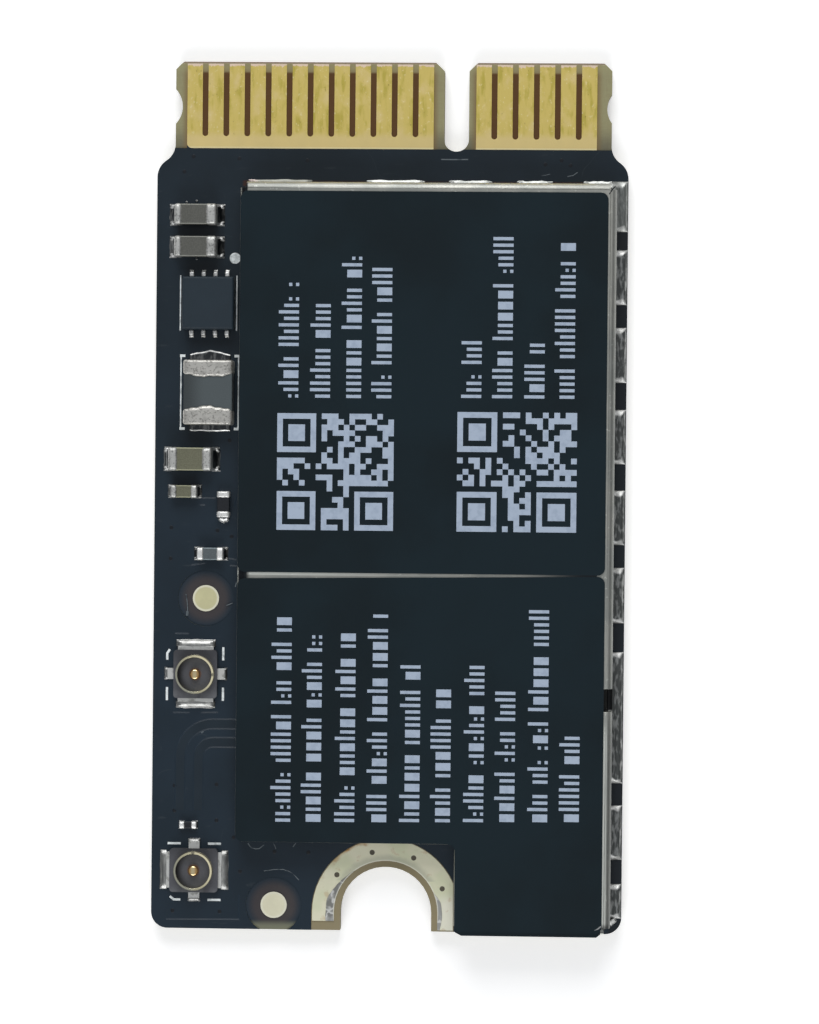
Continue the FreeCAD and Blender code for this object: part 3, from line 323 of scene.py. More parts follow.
@dataclass(frozen=True)
class BoardFinish(Finish):
    """Laminate with its mask skins, bare openings and routed edge.

    Attributes:
        top: the mask's upper face.
        skin: thickness that counts as mask at both faces.
        opening_end: where the mask ends and the contact area begins.
        contacts: the two combs' ends across the card.
        tip: where the contacts end.
        ring_area: highest y of the screw ring's opening and its reach to both sides.
        pour_end: where the inner copper ends, near the card's lower end.
        halo: where a fiducial's pale halo ends, and where the mask over copper is full.
        shield: the shield's left, right and upper edge.
        fiducials: middles of the fiducial openings.
        plies: copper layers a millimetre in the routed edge.
        plies_span: lowest and highest place of those layers.
    """

    name: str = "board_laminate"
    slot: str = "solder_mask"
    top: float = 0.8
    skin: float = 0.025
    opening_end: float = 13.2
    contacts: tuple[Point, ...] = ()
    tip: float = 16.41
    ring_area: Triple = (-13.0, -2.9, 2.7)
    pour_end: float = -16.16
    halo: Point = (0.66, 1.07)
    shield: Triple = (-5.68, 8.52, 11.87)
    fiducials: tuple[Point, ...] = ()
    plies: float = 5.0
    plies_span: Point = (0.1, 0.7)
    mask: Tint = (0.0058, 0.0130, 0.0195)
    mask_cool: Tint = (0.0104, 0.0232, 0.0380)
    scuffed: Tint = (0.060, 0.075, 0.085)
    laminate: Tint = (0.335, 0.320, 0.175)
    resin: Tint = (0.250, 0.210, 0.110)
    singed: Tint = (0.215, 0.145, 0.060)
    pale_tip: Tint = (0.350, 0.330, 0.175)
    slot_brown: Tint = (0.088, 0.036, 0.005)
    slot_light: Tint = (0.110, 0.050, 0.012)
    frayed: Tint = (0.22, 0.145, 0.115)
    ring_resin: Tint = (0.32, 0.27, 0.17)
    grey_resin: Tint = (0.185, 0.190, 0.130)
    dusk: Tint = (0.075, 0.070, 0.060)
    # painted shade: the mask beside the shield's right edge, as under the lid's shadow
    painted_lane_shade: Tint = (0.0070, 0.0085, 0.0105)
    halo_tint: Tint = (0.046, 0.040, 0.043)
    halo_light: Tint = (0.062, 0.054, 0.054)
    flux: Tint = (0.060, 0.020, 0.010)
    copper: Tint = (0.42, 0.17, 0.09)

    def shade(self, shader: Shader) -> None:
        """Tells skins, openings and edge apart by height and direction.

        Args:
            shader: the material's tree.
        """
        z = shader.spot[2]
        cloud = shader.noise(0.35, detail=4.0)
        grain = shader.noise(14.0)
        weave = shader.noise(3.0, (1.0, 6.0, 1.0)) * 0.5 + shader.noise(3.0, (6.0, 1.0, 1.0)) * 0.5
        scuff = shader.noise(1.1, (1.0, 5.0, 1.0), 6.0).rise(0.66, 0.74) * 0.35
        skin = (z > self.top - self.skin).most(z < self.skin)
        level = abs(shader.facing()[2]).rise(0.4, 0.6)
        copper = abs((z * self.plies).fraction() - 0.5).rise(0.44, 0.5)
        copper = copper * (z > self.plies_span[0]) * (z < self.plies_span[1])
        tint = shader.coats(self.laminate, (self.resin, grain), (self.copper, copper * 0.7),
                            (self.bare_tint(shader, cloud, grain, weave), level),
                            (self.mask_tint(shader, cloud, grain, scuff), skin))
        rough = (1 - skin) * (0.55 + grain * 0.2) + skin * (0.30 + cloud * 0.16 + scuff)
        relief = cloud * 0.6 + shader.noise(5.0) * 0.15 + weave * (1 - skin) * 0.4
        shader.surface(tint, rough, shader.bump(relief, 0.012), gloss=0.36)

    def mask_tint(self, shader: Shader, cloud: Socket, grain: Socket, scuff: Socket) -> Socket:
        """Gives the mask's colour, with scuff marks, hairlines, the flux at the shield's upper edge and painted
        shade in the strip beside the shield's right edge.

        Args:
            shader: the material's tree.
            cloud: the board's broad pattern.
            grain: its fine pattern.
            scuff: where the mask is scuffed.

        Returns:
            The colour.
        """
        x, y, _ = shader.spot
        left, right, upper = self.shield
        cool = cloud.rise(0.3, 0.7) * 0.45 + y.rise(12.5, -8.0) * 0.55
        hair = abs(shader.noise(0.55, detail=1.0) - 0.5).rise(0.007, 0.0)
        hair = hair * shader.noise(0.8).rise(0.58, 0.66)
        stain = y.band(upper - 0.1, upper + 0.11, 0.03) * x.band(left, right, 0.05) * grain.rise(0.25, 0.5)
        # painted shade on the strip between the shield's right feet
        lane = x.rise(right - 0.1, right) * (y < upper)
        return shader.coats(self.mask, (self.mask_cool, cool), (self.scuffed, scuff * grain + hair * 0.22),
                            (self.flux, stain * 0.8), (self.painted_lane_shade, lane * 0.75))

    def bare_tint(self, shader: Shader, cloud: Socket, grain: Socket, weave: Socket) -> Socket:
        """Gives the colour of the laminate where the mask leaves it open, by where it is.

        Args:
            shader: the material's tree.
            cloud: the board's broad pattern.
            grain: its fine pattern.
            weave: the glass cloth's pattern.

        Returns:
            The colour.
        """
        x, y, _ = shader.spot
        tongue = y > self.opening_end
        singed, slots = [], []
        slot_tint = shader.mix(self.slot_brown, self.slot_light, weave)
        for low, high in self.contacts:
            near = x.rise(low - 0.26, low + 0.02) * x.rise(high + 0.26, high - 0.02) * tongue
            singed.append((self.singed, near * 0.85))
            inside = x.band(low, high, 0.02) * y.rise(self.tip - 0.27, self.tip - 0.37) * tongue
            slots.append((slot_tint, inside))
        ring_top, ring_left, ring_right = self.ring_area
        below = y < ring_top
        ringed = below * x.band(ring_left, ring_right, 0.01)
        pour = (y < self.opening_end) * (1 - ringed) * y.rise(self.pour_end - 0.24, self.pour_end + 0.05)
        away = 1.0
        for centre in self.fiducials:
            away = shader.radius(centre).rise(*self.halo) * away
        haloed = shader.mix(self.halo_tint, self.halo_light, cloud.rise(0.4, 0.7))
        return shader.coats(
            self.laminate, (self.resin, weave.rise(0.3, 0.7) * 0.3 + cloud * 0.3),
            (self.dusk, y.rise(self.opening_end + 1.0, self.opening_end) * tongue * 0.6), *singed,
            (self.pale_tip, y.rise(self.tip - 0.45, self.tip - 0.1) * 0.6), *slots,
            (self.frayed, (y + grain * 0.05).rise(self.tip + 0.02, self.tip + 0.09) * 0.8),
            (shader.mix(self.resin, self.ring_resin, cloud), ringed), (self.grey_resin, below * (1 - ringed)),
            (shader.mix(haloed, self.mask_cool, away), pour))


@dataclass(frozen=True)
class GoldFinish(Finish):
    """Gold plating of the edge contacts, with wiping marks along each finger.

    Attributes:
        root: where the fingers leave their root bar.
        bar: width of the root bar.
        tip: where the fingers end.
        corner: middle of the rounded corner that the mask's opening has.
        corner_radius: that corner's radius.
    """

    name: str = "contact_plating"
    slot: str = "contact_gold"
    root: float = 13.66
    bar: float = 0.46
    tip: float = 16.41
    corner: Point = (0.0, 0.0)
    corner_radius: float = 0.19
    mask: Tint = (0.0080, 0.0175, 0.0270)
    gold: Tint = (0.765, 0.610, 0.185)
    tan: Tint = (0.82, 0.655, 0.290)
    olive: Tint = (0.55, 0.455, 0.085)
    pale: Tint = (0.93, 0.82, 0.50)
    pitted: Tint = (0.30, 0.21, 0.05)
    worn: Tint = (0.93, 0.74, 0.62)

    def shade(self, shader: Shader) -> None:
        """Runs streaks along the fingers and mottles them, with a tan root bar and a frayed tip.

        Args:
            shader: the material's tree.
        """
        x, y, _ = shader.spot
        streak = shader.noise(2.4, (1.9, 0.42, 1.0), 5.0)
        blot = shader.noise(1.6, (1.2, 0.8, 1.0), 4.0)
        speck = shader.noise(11.0, (1.0, 0.7, 1.0), 2.0)
        fingers = y.rise(self.root - 0.1, self.root + 0.25)
        low = self.root - self.bar
        covered = (x < self.corner[0]) * (y < self.corner[1])
        covered = covered * (shader.radius(self.corner) > self.corner_radius)
        tint = shader.coats(
            self.tan, (self.gold, fingers * blot.rise(0.25, 0.5)),
            (self.olive, streak.rise(0.46, 0.66) * blot.rise(0.36, 0.58) * fingers * 0.85),
            (self.pale, speck.rise(0.62, 0.72) * fingers * 0.5),
            (self.pitted, speck.rise(0.32, 0.25) * streak.rise(0.42, 0.55) * fingers * 0.6),
            (self.pale, y.rise(low + 0.09, low + 0.02) * 0.7),
            (self.worn, (y + speck * 0.2).rise(self.tip, self.tip + 0.05) * 0.9), (self.mask, covered))
        relief = streak * 0.7 + speck * 0.3
        shader.surface(tint, 0.40 + streak * 0.16 + speck * 0.06, shader.bump(relief, 0.006),
                       metal=0.82 - covered * 0.82)


@dataclass(frozen=True)
class RingFinish(Finish):
    """Pale plating of the screw ring, with flux stains, tinned legs, a greyer band along its inner edge and a
    painted highlight on that edge.
    """

    name: str = "ring_skin"
    slot: str = "ring_plating"
    centre: Point = (0.0, 0.0)
    inner: float = 1.97
    outer: float = 2.80
    cream: Tint = (0.83, 0.805, 0.61)
    green: Tint = (0.74, 0.755, 0.53)
    stain: Tint = (0.50, 0.28, 0.10)
    inner_grey_band: Tint = (0.47, 0.485, 0.37)
    tin: Tint = (0.25, 0.25, 0.235)
    bright_tin: Tint = (0.74, 0.74, 0.71)
    pale: Tint = (0.90, 0.885, 0.76)

    def shade(self, shader: Shader) -> None:
        """Clouds the plating, browns its outer edge, greys a band along the inner edge, tins the inner edge of
        both legs with a painted sheen on the tin, and paints a highlight along the inner edge.

        Args:
            shader: the material's tree.
        """
        radius = shader.radius(self.centre)
        across = shader.spot[0] - self.centre[0]
        along = shader.spot[1] - self.centre[1]
        cloud = shader.noise(0.9, detail=4.0)
        speck = shader.noise(9.0)
        lumps = shader.noise(2.4, detail=5.0)
        vein = abs(shader.noise(1.5, detail=2.0) - 0.5)
        browned = (radius + lumps * 0.5).rise(self.outer + 0.10, self.outer + 0.32)
        browned = browned * across.band(-2.2, 0.2, 0.5)
        # a greyer band along the inner edge, in the ring's upper part
        inner_grey_band = (radius + lumps * 0.2).rise(self.inner + 0.42, self.inner + 0.2) * (along > 1.2)
        left = (across < 0.0) * along.rise(1.95, 0.25)
        right = (across > 0.0) * along.rise(0.95, 0.25)
        width = left * 0.36 + right * 0.22
        tinned = (self.inner - 0.05 + width - radius + lumps * 0.1).rise(0.03, 0.06)
        # painted sheen: light and dark tones of the tin, lighter on the right leg
        painted_tin_sheen = vein.rise(0.035, 0.0) + lumps.rise(0.5, 0.7) * 0.5 + right * 0.3
        # the last coat is a painted highlight along the inner edge
        tint = shader.coats(
            self.cream, (self.green, cloud.rise(0.4, 0.62)),
            (self.pale, across.rise(1.5, 2.3) * along.rise(0.9, 0.3) * 0.7),
            (self.stain, browned * 0.8 + lumps.rise(0.60, 0.70) * 0.35), (self.inner_grey_band, inner_grey_band * 0.55),
            (shader.mix(self.tin, self.bright_tin, painted_tin_sheen), tinned),
            (self.pale, radius.rise(self.inner + 0.05, self.inner + 0.02) * 0.75))
        relief = cloud * 0.4 + speck * 0.1 + lumps * tinned * 1.6
        shader.surface(tint, 0.46 + speck * 0.12 - tinned * 0.2, shader.bump(relief, 0.02), metal=0.3)


@dataclass(frozen=True)
class FiducialFinish(Finish):
    """Pale plating of a fiducial disc, brighter at its rim."""

    slot: str = "ring_plating"
    centre: Point = (0.0, 0.0)
    radius: float = 0.5
    plating: Tint = (0.63, 0.60, 0.355)
    rim: Tint = (0.86, 0.84, 0.68)

    def shade(self, shader: Shader) -> None:
        """Clouds the disc and brightens its rim.

        Args:
            shader: the material's tree.
        """
        cloud = shader.noise(2.2, detail=4.0)
        speck = shader.noise(12.0)
        edge = shader.radius(self.centre).rise(self.radius - 0.1, self.radius - 0.05)
        tint = shader.coats(self.plating, (toned(self.plating, 1.08), cloud.rise(0.35, 0.65)),
                            (self.rim, edge * 0.8))
        shader.surface(tint, 0.46 + speck * 0.12, shader.bump(cloud * 0.4 + speck * 0.1, 0.012), metal=0.3)


@dataclass(frozen=True)
class SheetFinish(Finish):
    """Tinned sheet metal of the shield can, with rolling lines and handling marks."""

    name: str = "shield_sheet"
    slot: str = "shield_metal"
    silver: Tint = (0.46, 0.46, 0.42)
    dull: Tint = (0.32, 0.335, 0.315)
    bright: Tint = (0.72, 0.735, 0.68)

    def shade(self, shader: Shader) -> None:
        """Draws fine rolling lines along the card, with dull patches and scratches.

        Args:
            shader: the material's tree.
        """
        rolled = shader.noise(3.0, (6.0, 0.35, 6.0), 4.0)
        patch = shader.noise(0.8, detail=4.0)
        nick = shader.noise(6.0, detail=6.0).rise(0.62, 0.7)
        tint = shader.coats(self.silver, (self.dull, patch.rise(0.4, 0.65) * 0.7), (self.bright, nick * 0.5))
        shader.surface(self.mark(shader, tint), 0.36 + rolled * 0.14 + patch * 0.08,
                       shader.bump(rolled * 0.5 + nick * 0.5, 0.006), metal=0.92)


@dataclass(frozen=True)
class LidFinish(SheetFinish):
    """The lid's sheet: a painted highlight and painted shade in the gap between the labels, a rubbed edge,
    painted shade on the right fold, the left strip and the upper-left corner, and darkening towards the lower
    end of its upper face.

    Attributes:
        gap: where the gap between the labels runs.
        gap_highlight: where the gap's painted highlight begins, and where it is full.
        gap_shade_ends: where the painted shade begins to fill the gap, and where it fills it.
        gap_shade_stop: where the gap's painted highlight and painted shade end.
        rubbed_edge: the rubbed strip's two sides.
        rubbed_ends: where the strip begins to be rubbed, and where it is.
        fold: where the right fold's painted shade begins, and where it is full.
        lower_end_dark: where the darkening begins at the lid's lower end, and where it is full.
        shaded: where the dark left strip begins, and where it is dark.
        head: the labels' upper end, above which the left strip gets no painted shade.
        corner: where the painted shade of the upper-left corner begins, and where it is full.
        face: height above which the lid's upper face counts.
        fold_face: height above which the right fold gets its painted shade.
    """

    name: str = "lid_sheet"
    gap: float = -2.9
    gap_highlight: Point = (3.0, -5.0)
    gap_shade_ends: Point = (4.6, 7.4)
    gap_shade_stop: float = 7.9
    rubbed_edge: Point = (8.15, 8.34)
    rubbed_ends: Point = (-7.9, -9.4)
    fold: Point = (8.35, 8.43)
    lower_end_dark: Point = (-15.9, -16.2)
    shaded: Point = (-5.15, -5.35)
    head: float = 11.45
    corner: Point = (-5.36, -5.42)
    face: float = 1.96
    fold_face: float = 1.82
    # painted shade in the gap towards the right; then painted shade on the left strip and upper-left corner,
    # which also darkens the lower end; then painted shade on the right fold
    gap_shade: Tint = (0.050, 0.056, 0.062)
    black: Tint = (0.020, 0.024, 0.028)
    fold_shade: Tint = (0.150, 0.156, 0.148)

    def mark(self, shader: Shader, tint: Socket) -> Socket:
        """Adds the lid's rubbed edge, its painted highlight and painted shade, and the darker lower end.

        Args:
            shader: the material's tree.
            tint: the sheet's colour.

        Returns:
            The colour with its marks.
        """
        x, y, z = shader.spot
        worn = y.rise(*self.rubbed_ends)
        # the gap: painted highlight towards the left, painted shade towards the right
        near = abs(y - self.gap).rise(0.09, 0.06) * (x < self.gap_shade_stop)
        # painted shade on the left strip and the upper-left corner, and the darker lower end
        shade_and_dark_end = (x.rise(*self.shaded) * (y < self.head)).most(x.rise(*self.corner))
        shade_and_dark_end = shade_and_dark_end.most(y.rise(*self.lower_end_dark) * 0.85)
        return shader.coats(
            tint, (self.bright, x.band(*self.rubbed_edge, 0.015) * worn),
            (self.fold_shade, x.rise(*self.fold) * (z > self.fold_face) * (0.55 + worn * 0.3)),
            (self.bright, near * x.rise(*self.gap_highlight)), (self.gap_shade, near * x.rise(*self.gap_shade_ends)),
            (self.black, shade_and_dark_end * (z > self.face)))


@dataclass(frozen=True)
class SolderFinish(Finish):
    """Solder with a painted highlight where its surface turns towards the card's ends, and painted shade
    elsewhere, streaked, in the colour called flux.

    Attributes:
        streak_scale: how fine its streaks are.
        streak_ends: where a streak begins in its pattern, and where it is full.
    """

    name: str = "solder_tin"
    slot: str = "solder"
    bright: Tint = (0.70, 0.70, 0.68)
    dull: Tint = (0.42, 0.42, 0.40)
    # painted shade: the colour where the solder faces away from the card's ends
    flux: Tint = (0.175, 0.185, 0.180)
    smear: Tint = (0.42, 0.43, 0.415)
    streak_scale: float = 3.6
    streak_ends: Point = (0.44, 0.64)

    def shade(self, shader: Shader) -> None:
        """Wrinkles the solder, paints its highlight by the way its surface faces, and streaks the painted
        shade.

        Args:
            shader: the material's tree.
        """
        wrinkle = shader.noise(3.2, detail=4.0)
        streak = shader.noise(self.streak_scale, (2.0, 0.6, 2.0), 4.0)
        grain = shader.noise(16.0)
        # painted highlight where the surface faces the card's ends, as if the light came from there
        painted_highlight = (abs(shader.facing()[1]) + wrinkle * 0.16).rise(0.18, 0.42)
        clear = shader.mix(self.bright, self.dull, wrinkle.rise(0.45, 0.65) * 0.7)
        tint = shader.coats(self.flux, (self.smear, streak.rise(*self.streak_ends)), (clear, painted_highlight))
        shader.surface(self.mark(shader, tint), 0.36 + painted_highlight * 0.06 + wrinkle * 0.1 + grain * 0.06,
                       shader.bump(wrinkle + streak * 0.6 + grain * 0.06, 0.010), metal=1.0)


@dataclass(frozen=True)
class ShieldSolderFinish(SolderFinish):
    """The shield's solder: paler at the card's upper end, dull at one foot, shaded under the lid's slot.

    Attributes:
        slot_x: the slot's two sides.
        slot_y: the slot's two ends.
        pale_ends: where the solder begins to be paler, and where it is.
        dull_x: the dull foot's two ends.
        dull_y: beyond which its solder is dull.
        pink_x: where its pink end begins, and where it is.
    """

    name: str = "shield_solder_tin"
    flux: Tint = (0.145, 0.153, 0.148)
    smear: Tint = (0.45, 0.46, 0.445)
    streak_scale: float = 4.6
    streak_ends: Point = (0.45, 0.64)
    slot_x: Point = (8.1, 8.53)
    slot_y: Point = (-7.97, -7.09)
    pale_ends: Point = (9.8, 10.2)
    dull_x: Point = (-5.6, -3.0)
    dull_y: float = 11.7
    pink_x: Point = (-5.0, -5.35)
    pale: Tint = (0.44, 0.46, 0.43)
    olive: Tint = (0.185, 0.185, 0.155)
    pink: Tint = (0.50, 0.40, 0.37)
    shade_tint: Tint = (0.012, 0.013, 0.014)

    def mark(self, shader: Shader, tint: Socket) -> Socket:
        """Adds the paler end, the dull foot and the shade.

        Args:
            shader: the material's tree.
            tint: the solder's colour.

        Returns:
            The colour with them.
        """
        x, y, _ = shader.spot
        dulled = x.band(*self.dull_x, 0.05) * (y > self.dull_y)
        return shader.coats(tint, (self.pale, y.rise(*self.pale_ends) * 0.45),
                            (shader.mix(self.olive, self.pink, x.rise(*self.pink_x)), dulled * 0.8),
                            (self.shade_tint, x.band(*self.slot_x, 0.02) * y.band(*self.slot_y, 0.02)))


@dataclass(frozen=True)
class ChipSolderFinish(SolderFinish):
    """The chip parts' solder, dark with painted shade, and lighter with a painted sheen near the card's left
    edge.

    Attributes:
        sheen_ends: where its painted sheen begins, and where it is full.
    """

    name: str = "chip_solder_tin"
    bright: Tint = (0.93, 0.93, 0.91)
    dull: Tint = (0.64, 0.64, 0.62)
    flux: Tint = (0.050, 0.054, 0.058)
    smear: Tint = (0.17, 0.175, 0.175)
    sheen_ends: Point = (-7.9, -8.15)
    sheen_tint: Tint = (0.46, 0.47, 0.46)

    def mark(self, shader: Shader, tint: Socket) -> Socket:
        """Adds the painted sheen near the card's left edge."""
        # painted sheen: lighter streaks on the solder near the card's left edge
        streak = shader.noise(5.0, (2.5, 0.3, 1.0)).rise(0.35, 0.6)
        return shader.mix(tint, self.sheen_tint, shader.spot[0].rise(*self.sheen_ends) * streak * 0.7)


@dataclass(frozen=True)
class FilmFinish(Finish):
    """Black satin label film."""

    name: str = "label_satin"
    slot: str = "label_film"
    black: Tint = (0.0040, 0.0108, 0.0150)
    cool: Tint = (0.0056, 0.0156, 0.0220)

    def shade(self, shader: Shader) -> None:
        """Gives the film a fine grain and a faint cloud.

        Args:
            shader: the material's tree.
        """
        grain = shader.noise(9.0, detail=2.0)
        tint = shader.mix(self.black, self.cool, shader.noise(0.22, detail=4.0).rise(0.35, 0.65))
        shader.surface(tint, 0.36 + grain * 0.16, shader.bump(grain, 0.002), gloss=0.22)


@dataclass(frozen=True)
class InkFinish(Finish):
    """Pale print, thin in patches; also board markings, scuff marks and painted highlights on the mask, and the
    painted highlight on the film's crease.

    Attributes:
        ink: the ink's colour.
        thin: the colour where the ink is thin.
        wear: how much of it is thin.
    """

    name: str = "label_ink"
    ink: Tint = (0.43, 0.51, 0.63)
    thin: Tint = (0.30, 0.37, 0.48)
    wear: float = 0.5

    def shade(self, shader: Shader) -> None:
        """Thins the ink in small patches.

        Args:
            shader: the material's tree.
        """
        cloud = shader.noise(4.0, detail=4.0)
        tint = shader.mix(self.ink, self.thin, cloud.rise(0.45, 0.7) * self.wear)
        shader.surface(tint, 0.5 + cloud * 0.2, gloss=0.3)


@dataclass(frozen=True)
class CeramicFinish(Finish):
    """Fired ceramic, ferrite or glaze of a chip part's body.

    Attributes:
        tint: the body's colour.
        rough: its roughness.
        speckle: how strongly its grain shows.
        drift: where across the card its painted sheen is darkest and where it is lightest, if it has one.
        sheen_tones: the two tones of that painted sheen, as shares of its colour.
        edge_highlight_tone: tone of the painted highlight on the edges that face the card's ends, as a share of
            its colour.
    """

    tint: Tint = (0.10, 0.10, 0.09)
    rough: float = 0.5
    speckle: float = 0.25
    drift: Optional[Point] = None
    sheen_tones: Point = (0.45, 1.45)
    edge_highlight_tone: float = 3.6

    def shade(self, shader: Shader) -> None:
        """Speckles the body and clouds it, paints a sheen across it where it has one, and paints highlights on
        its edges that face the card's ends.

        Args:
            shader: the material's tree.
        """
        grain = shader.noise(22.0, detail=2.0)
        cloud = shader.noise(1.3)
        _, beside, up = shader.facing()
        # painted highlight on the upper edges that face the card's ends
        painted_edge_highlight = abs(beside).rise(0.15, 0.4) * up.rise(0.05, 0.3)
        dark, light = toned(self.tint, 1 - self.speckle), toned(self.tint, 1 + self.speckle)
        tint = shader.mix(dark, light, grain.rise(0.3, 0.7) * 0.6 + cloud * 0.4)
        # painted sheen across the body, darker at one side and lighter at the other
        if self.drift:
            dark, light = (toned(self.tint, tone) for tone in self.sheen_tones)
            tint = shader.mix(tint, shader.mix(dark, light, shader.spot[0].rise(*self.drift)), 0.6)
        tint = shader.mix(tint, toned(self.tint, self.edge_highlight_tone), painted_edge_highlight)
        shader.surface(tint, self.rough + grain * 0.12, shader.bump(grain, 0.004), gloss=0.35)


@dataclass(frozen=True)
class TinFinish(Finish):
    """Matte tin plating of end caps and leads."""

    name: str = "cap_tin"
    slot: str = "end_cap_tin"
    tin: Tint = (0.60, 0.60, 0.575)
    dark: Tint = (0.24, 0.245, 0.235)

    def shade(self, shader: Shader) -> None:
        """Pits the plating and roughens it.

        Args:
            shader: the material's tree.
        """
        pits = shader.noise(13.0)
        cloud = shader.noise(2.6, detail=4.0)
        tint = shader.mix(self.tin, self.dark, pits.rise(0.50, 0.68) * 0.75 + cloud.rise(0.45, 0.7) * 0.35)
        shader.surface(tint, 0.40 + pits * 0.14, shader.bump(pits * 0.5 + cloud, 0.014), metal=0.85)


@dataclass(frozen=True)
class MouldFinish(Finish):
    """Moulded plastic of a chip package or a socket's base."""

    tint: Tint = (0.02, 0.03, 0.04)
    rough: float = 0.5

    def shade(self, shader: Shader) -> None:
        """Gives the plastic its filler grain.

        Args:
            shader: the material's tree.
        """
        grain = shader.noise(18.0, detail=2.0)
        cloud = shader.noise(1.0)
        tint = shader.mix(toned(self.tint, 0.75), toned(self.tint, 1.3), grain * 0.5 + cloud * 0.5)
        shader.surface(self.mark(shader, tint), self.rough + grain * 0.14, shader.bump(grain, 0.004),
                       gloss=0.35)


@dataclass(frozen=True)
class WellFinish(MouldFinish):
    """A socket's base: a painted shadow of the ring's wall at one side of the well, darker at its upper end,
    smeared at its lower end.

    Attributes:
        centre: the socket's centre.
        well: the well's radius.
        shift: how far the middle of the part that the painted shadow leaves out lies off the centre.
        dark_tone: tone of the painted shadow in the well and of the darker upper end, as a share of its colour.
    """

    slot: str = "socket_mould"
    tint: Tint = (0.084, 0.086, 0.098)
    rough: float = 0.4
    centre: Point = (0.0, 0.0)
    well: float = 0.72
    shift: float = 0.14
    dark_tone: float = 0.12
    flux: Tint = (0.24, 0.25, 0.26)
    # painted reflection of the gold pin on the plastic round it
    glow: Tint = (0.115, 0.055, 0.028)

    def mark(self, shader: Shader, tint: Socket) -> Socket:
        """Adds the painted shadow in the well, the darker upper end, the smear and a painted reflection of the
        pin round it.

        Args:
            shader: the material's tree.
            tint: the plastic's colour.

        Returns:
            The colour with them.
        """
        radius = shader.radius(self.centre)
        inside = radius < self.well
        up = (shader.spot[1] - self.centre[1]) * (1 - inside)
        off_side = shader.radius((self.centre[0] + self.shift, self.centre[1]))
        # painted shadow of the ring's wall on one side of the well
        dark = inside * off_side.rise(self.well - 0.2, self.well + 0.08)
        smear = up.rise(-0.45, -0.85) * shader.noise(2.5).rise(0.3, 0.6)
        return shader.coats(tint, (self.flux, smear * 0.3), (self.glow, radius.rise(0.26, 0.20) * 0.8),
                            (toned(self.tint, self.dark_tone), dark * 0.9 + up.rise(0.3, 0.85) * 0.4))


@dataclass(frozen=True)
class SocketFinish(Finish):
    """Plated metal of an antenna socket: gold at ring and pin, tinned at the tabs.

    Attributes:
        centre: the socket's centre.
        seam: where the ring's two ends meet.
        ring: the ring's radius.
        bore: radius beyond which the metal belongs to the ring.
        pin: the pin's radius.
    """

    slot: str = "socket_gold"
    centre: Point = (0.0, 0.0)
    seam: Point = (0.0, 0.0)
    ring: float = 0.74
    bore: float = 0.5
    pin: float = 0.2
    gold: Tint = (0.95, 0.90, 0.62)
    glint: Tint = (1.0, 0.86, 0.52)
    amber: Tint = (0.70, 0.38, 0.12)
    tin: Tint = (0.74, 0.74, 0.71)
    dull_tin: Tint = (0.40, 0.40, 0.37)
    worn: Tint = (0.50, 0.51, 0.44)
    dark: Tint = (0.10, 0.10, 0.085)

    def shade(self, shader: Shader) -> None:
        """Sets the plating by the distance from the socket's centre, with a painted highlight on the pin, a
        brighter, less metallic side and painted shade on the other side.

        Args:
            shader: the material's tree.
        """
        radius = shader.radius(self.centre)
        across = shader.spot[0] - self.centre[0]
        aside = across + (shader.spot[1] - self.centre[1]) * 0.5
        cloud = shader.noise(4.0, detail=4.0)
        tabs = radius.rise(self.ring + 0.02, self.ring + 0.06)
        shell = (radius > self.bore) * (1 - tabs)
        edge = radius.rise(self.ring - 0.025, self.ring - 0.005)
        gap = shader.radius(self.seam).rise(0.09, 0.04)
        # the coat on the shell's lower left side is painted shade
        tint = shader.coats(
            self.amber, (self.gold, radius.rise(self.pin, self.pin + 0.15) * 0.75 + cloud * 0.25),
            (self.glint, abs(across).rise(0.12, 0.03) * (radius < self.pin) * 0.8),
            (self.worn, aside.rise(0.0, -0.6) * shell * 0.7), (self.dark, edge.most(gap) * shell * 0.75),
            (shader.mix(self.tin, self.dull_tin, cloud.rise(0.5, 0.7)), tabs))
        metal = 0.95 - tabs * 0.3 - aside.rise(-0.1, 0.75) * shell * 0.6
        shader.surface(tint, 0.16 + cloud * 0.1 + tabs * 0.16, shader.bump(cloud, 0.01), metal=metal)


MASK = MaskFinish()
GAP_MASK = MaskFinish("trace_gap_mask", tint=(0.0072, 0.0172, 0.0275))
VIA_MASK = MaskFinish("via_plug", tint=(0.0016, 0.0042, 0.0085))
VIA_FILL = MaskFinish("ring_via_fill", tint=(0.100, 0.088, 0.062))
SHIELD_SOLDER = ShieldSolderFinish()
CHIP_SOLDER = ChipSolderFinish()
TAB_SOLDER = SolderFinish("tab_solder_tin", flux=(0.30, 0.305, 0.295), smear=(0.46, 0.46, 0.44))
TIN = TinFinish()
WARM_TIN = TinFinish("warm_cap_tin", tin=(0.615, 0.60, 0.56), dark=(0.245, 0.24, 0.22))
LEAD_TIN = TinFinish("lead_tin", tin=(0.93, 0.93, 0.91), dark=(0.66, 0.66, 0.64))
SILK = InkFinish("board_marking", ink=(0.90, 0.95, 0.95), thin=(0.28, 0.31, 0.32), wear=0.7)
# pale scuff marks and painted highlights on the mask
SCUFF_AND_HIGHLIGHT = InkFinish("scuffed_and_highlighted_mask", ink=(0.14, 0.165, 0.18), thin=(0.022, 0.034, 0.046), wear=1.0)
INK = InkFinish()
# painted highlight on the lower film's crease
CREASE_HIGHLIGHT = InkFinish("film_crease_highlight", ink=(0.32, 0.33, 0.33), thin=(0.09, 0.10, 0.105), wear=0.8)
MOULD = MouldFinish("package_mould", "chip_mould", tint=(0.0135, 0.0255, 0.0370), rough=0.48)
GREY = CeramicFinish("grey_body", "grey_ceramic", tint=(0.105, 0.106, 0.094))
SLATE = CeramicFinish("slate_body", "grey_ceramic", tint=(0.098, 0.118, 0.126))
OLIVE = CeramicFinish("olive_body", "olive_ceramic", tint=(0.150, 0.150, 0.100))
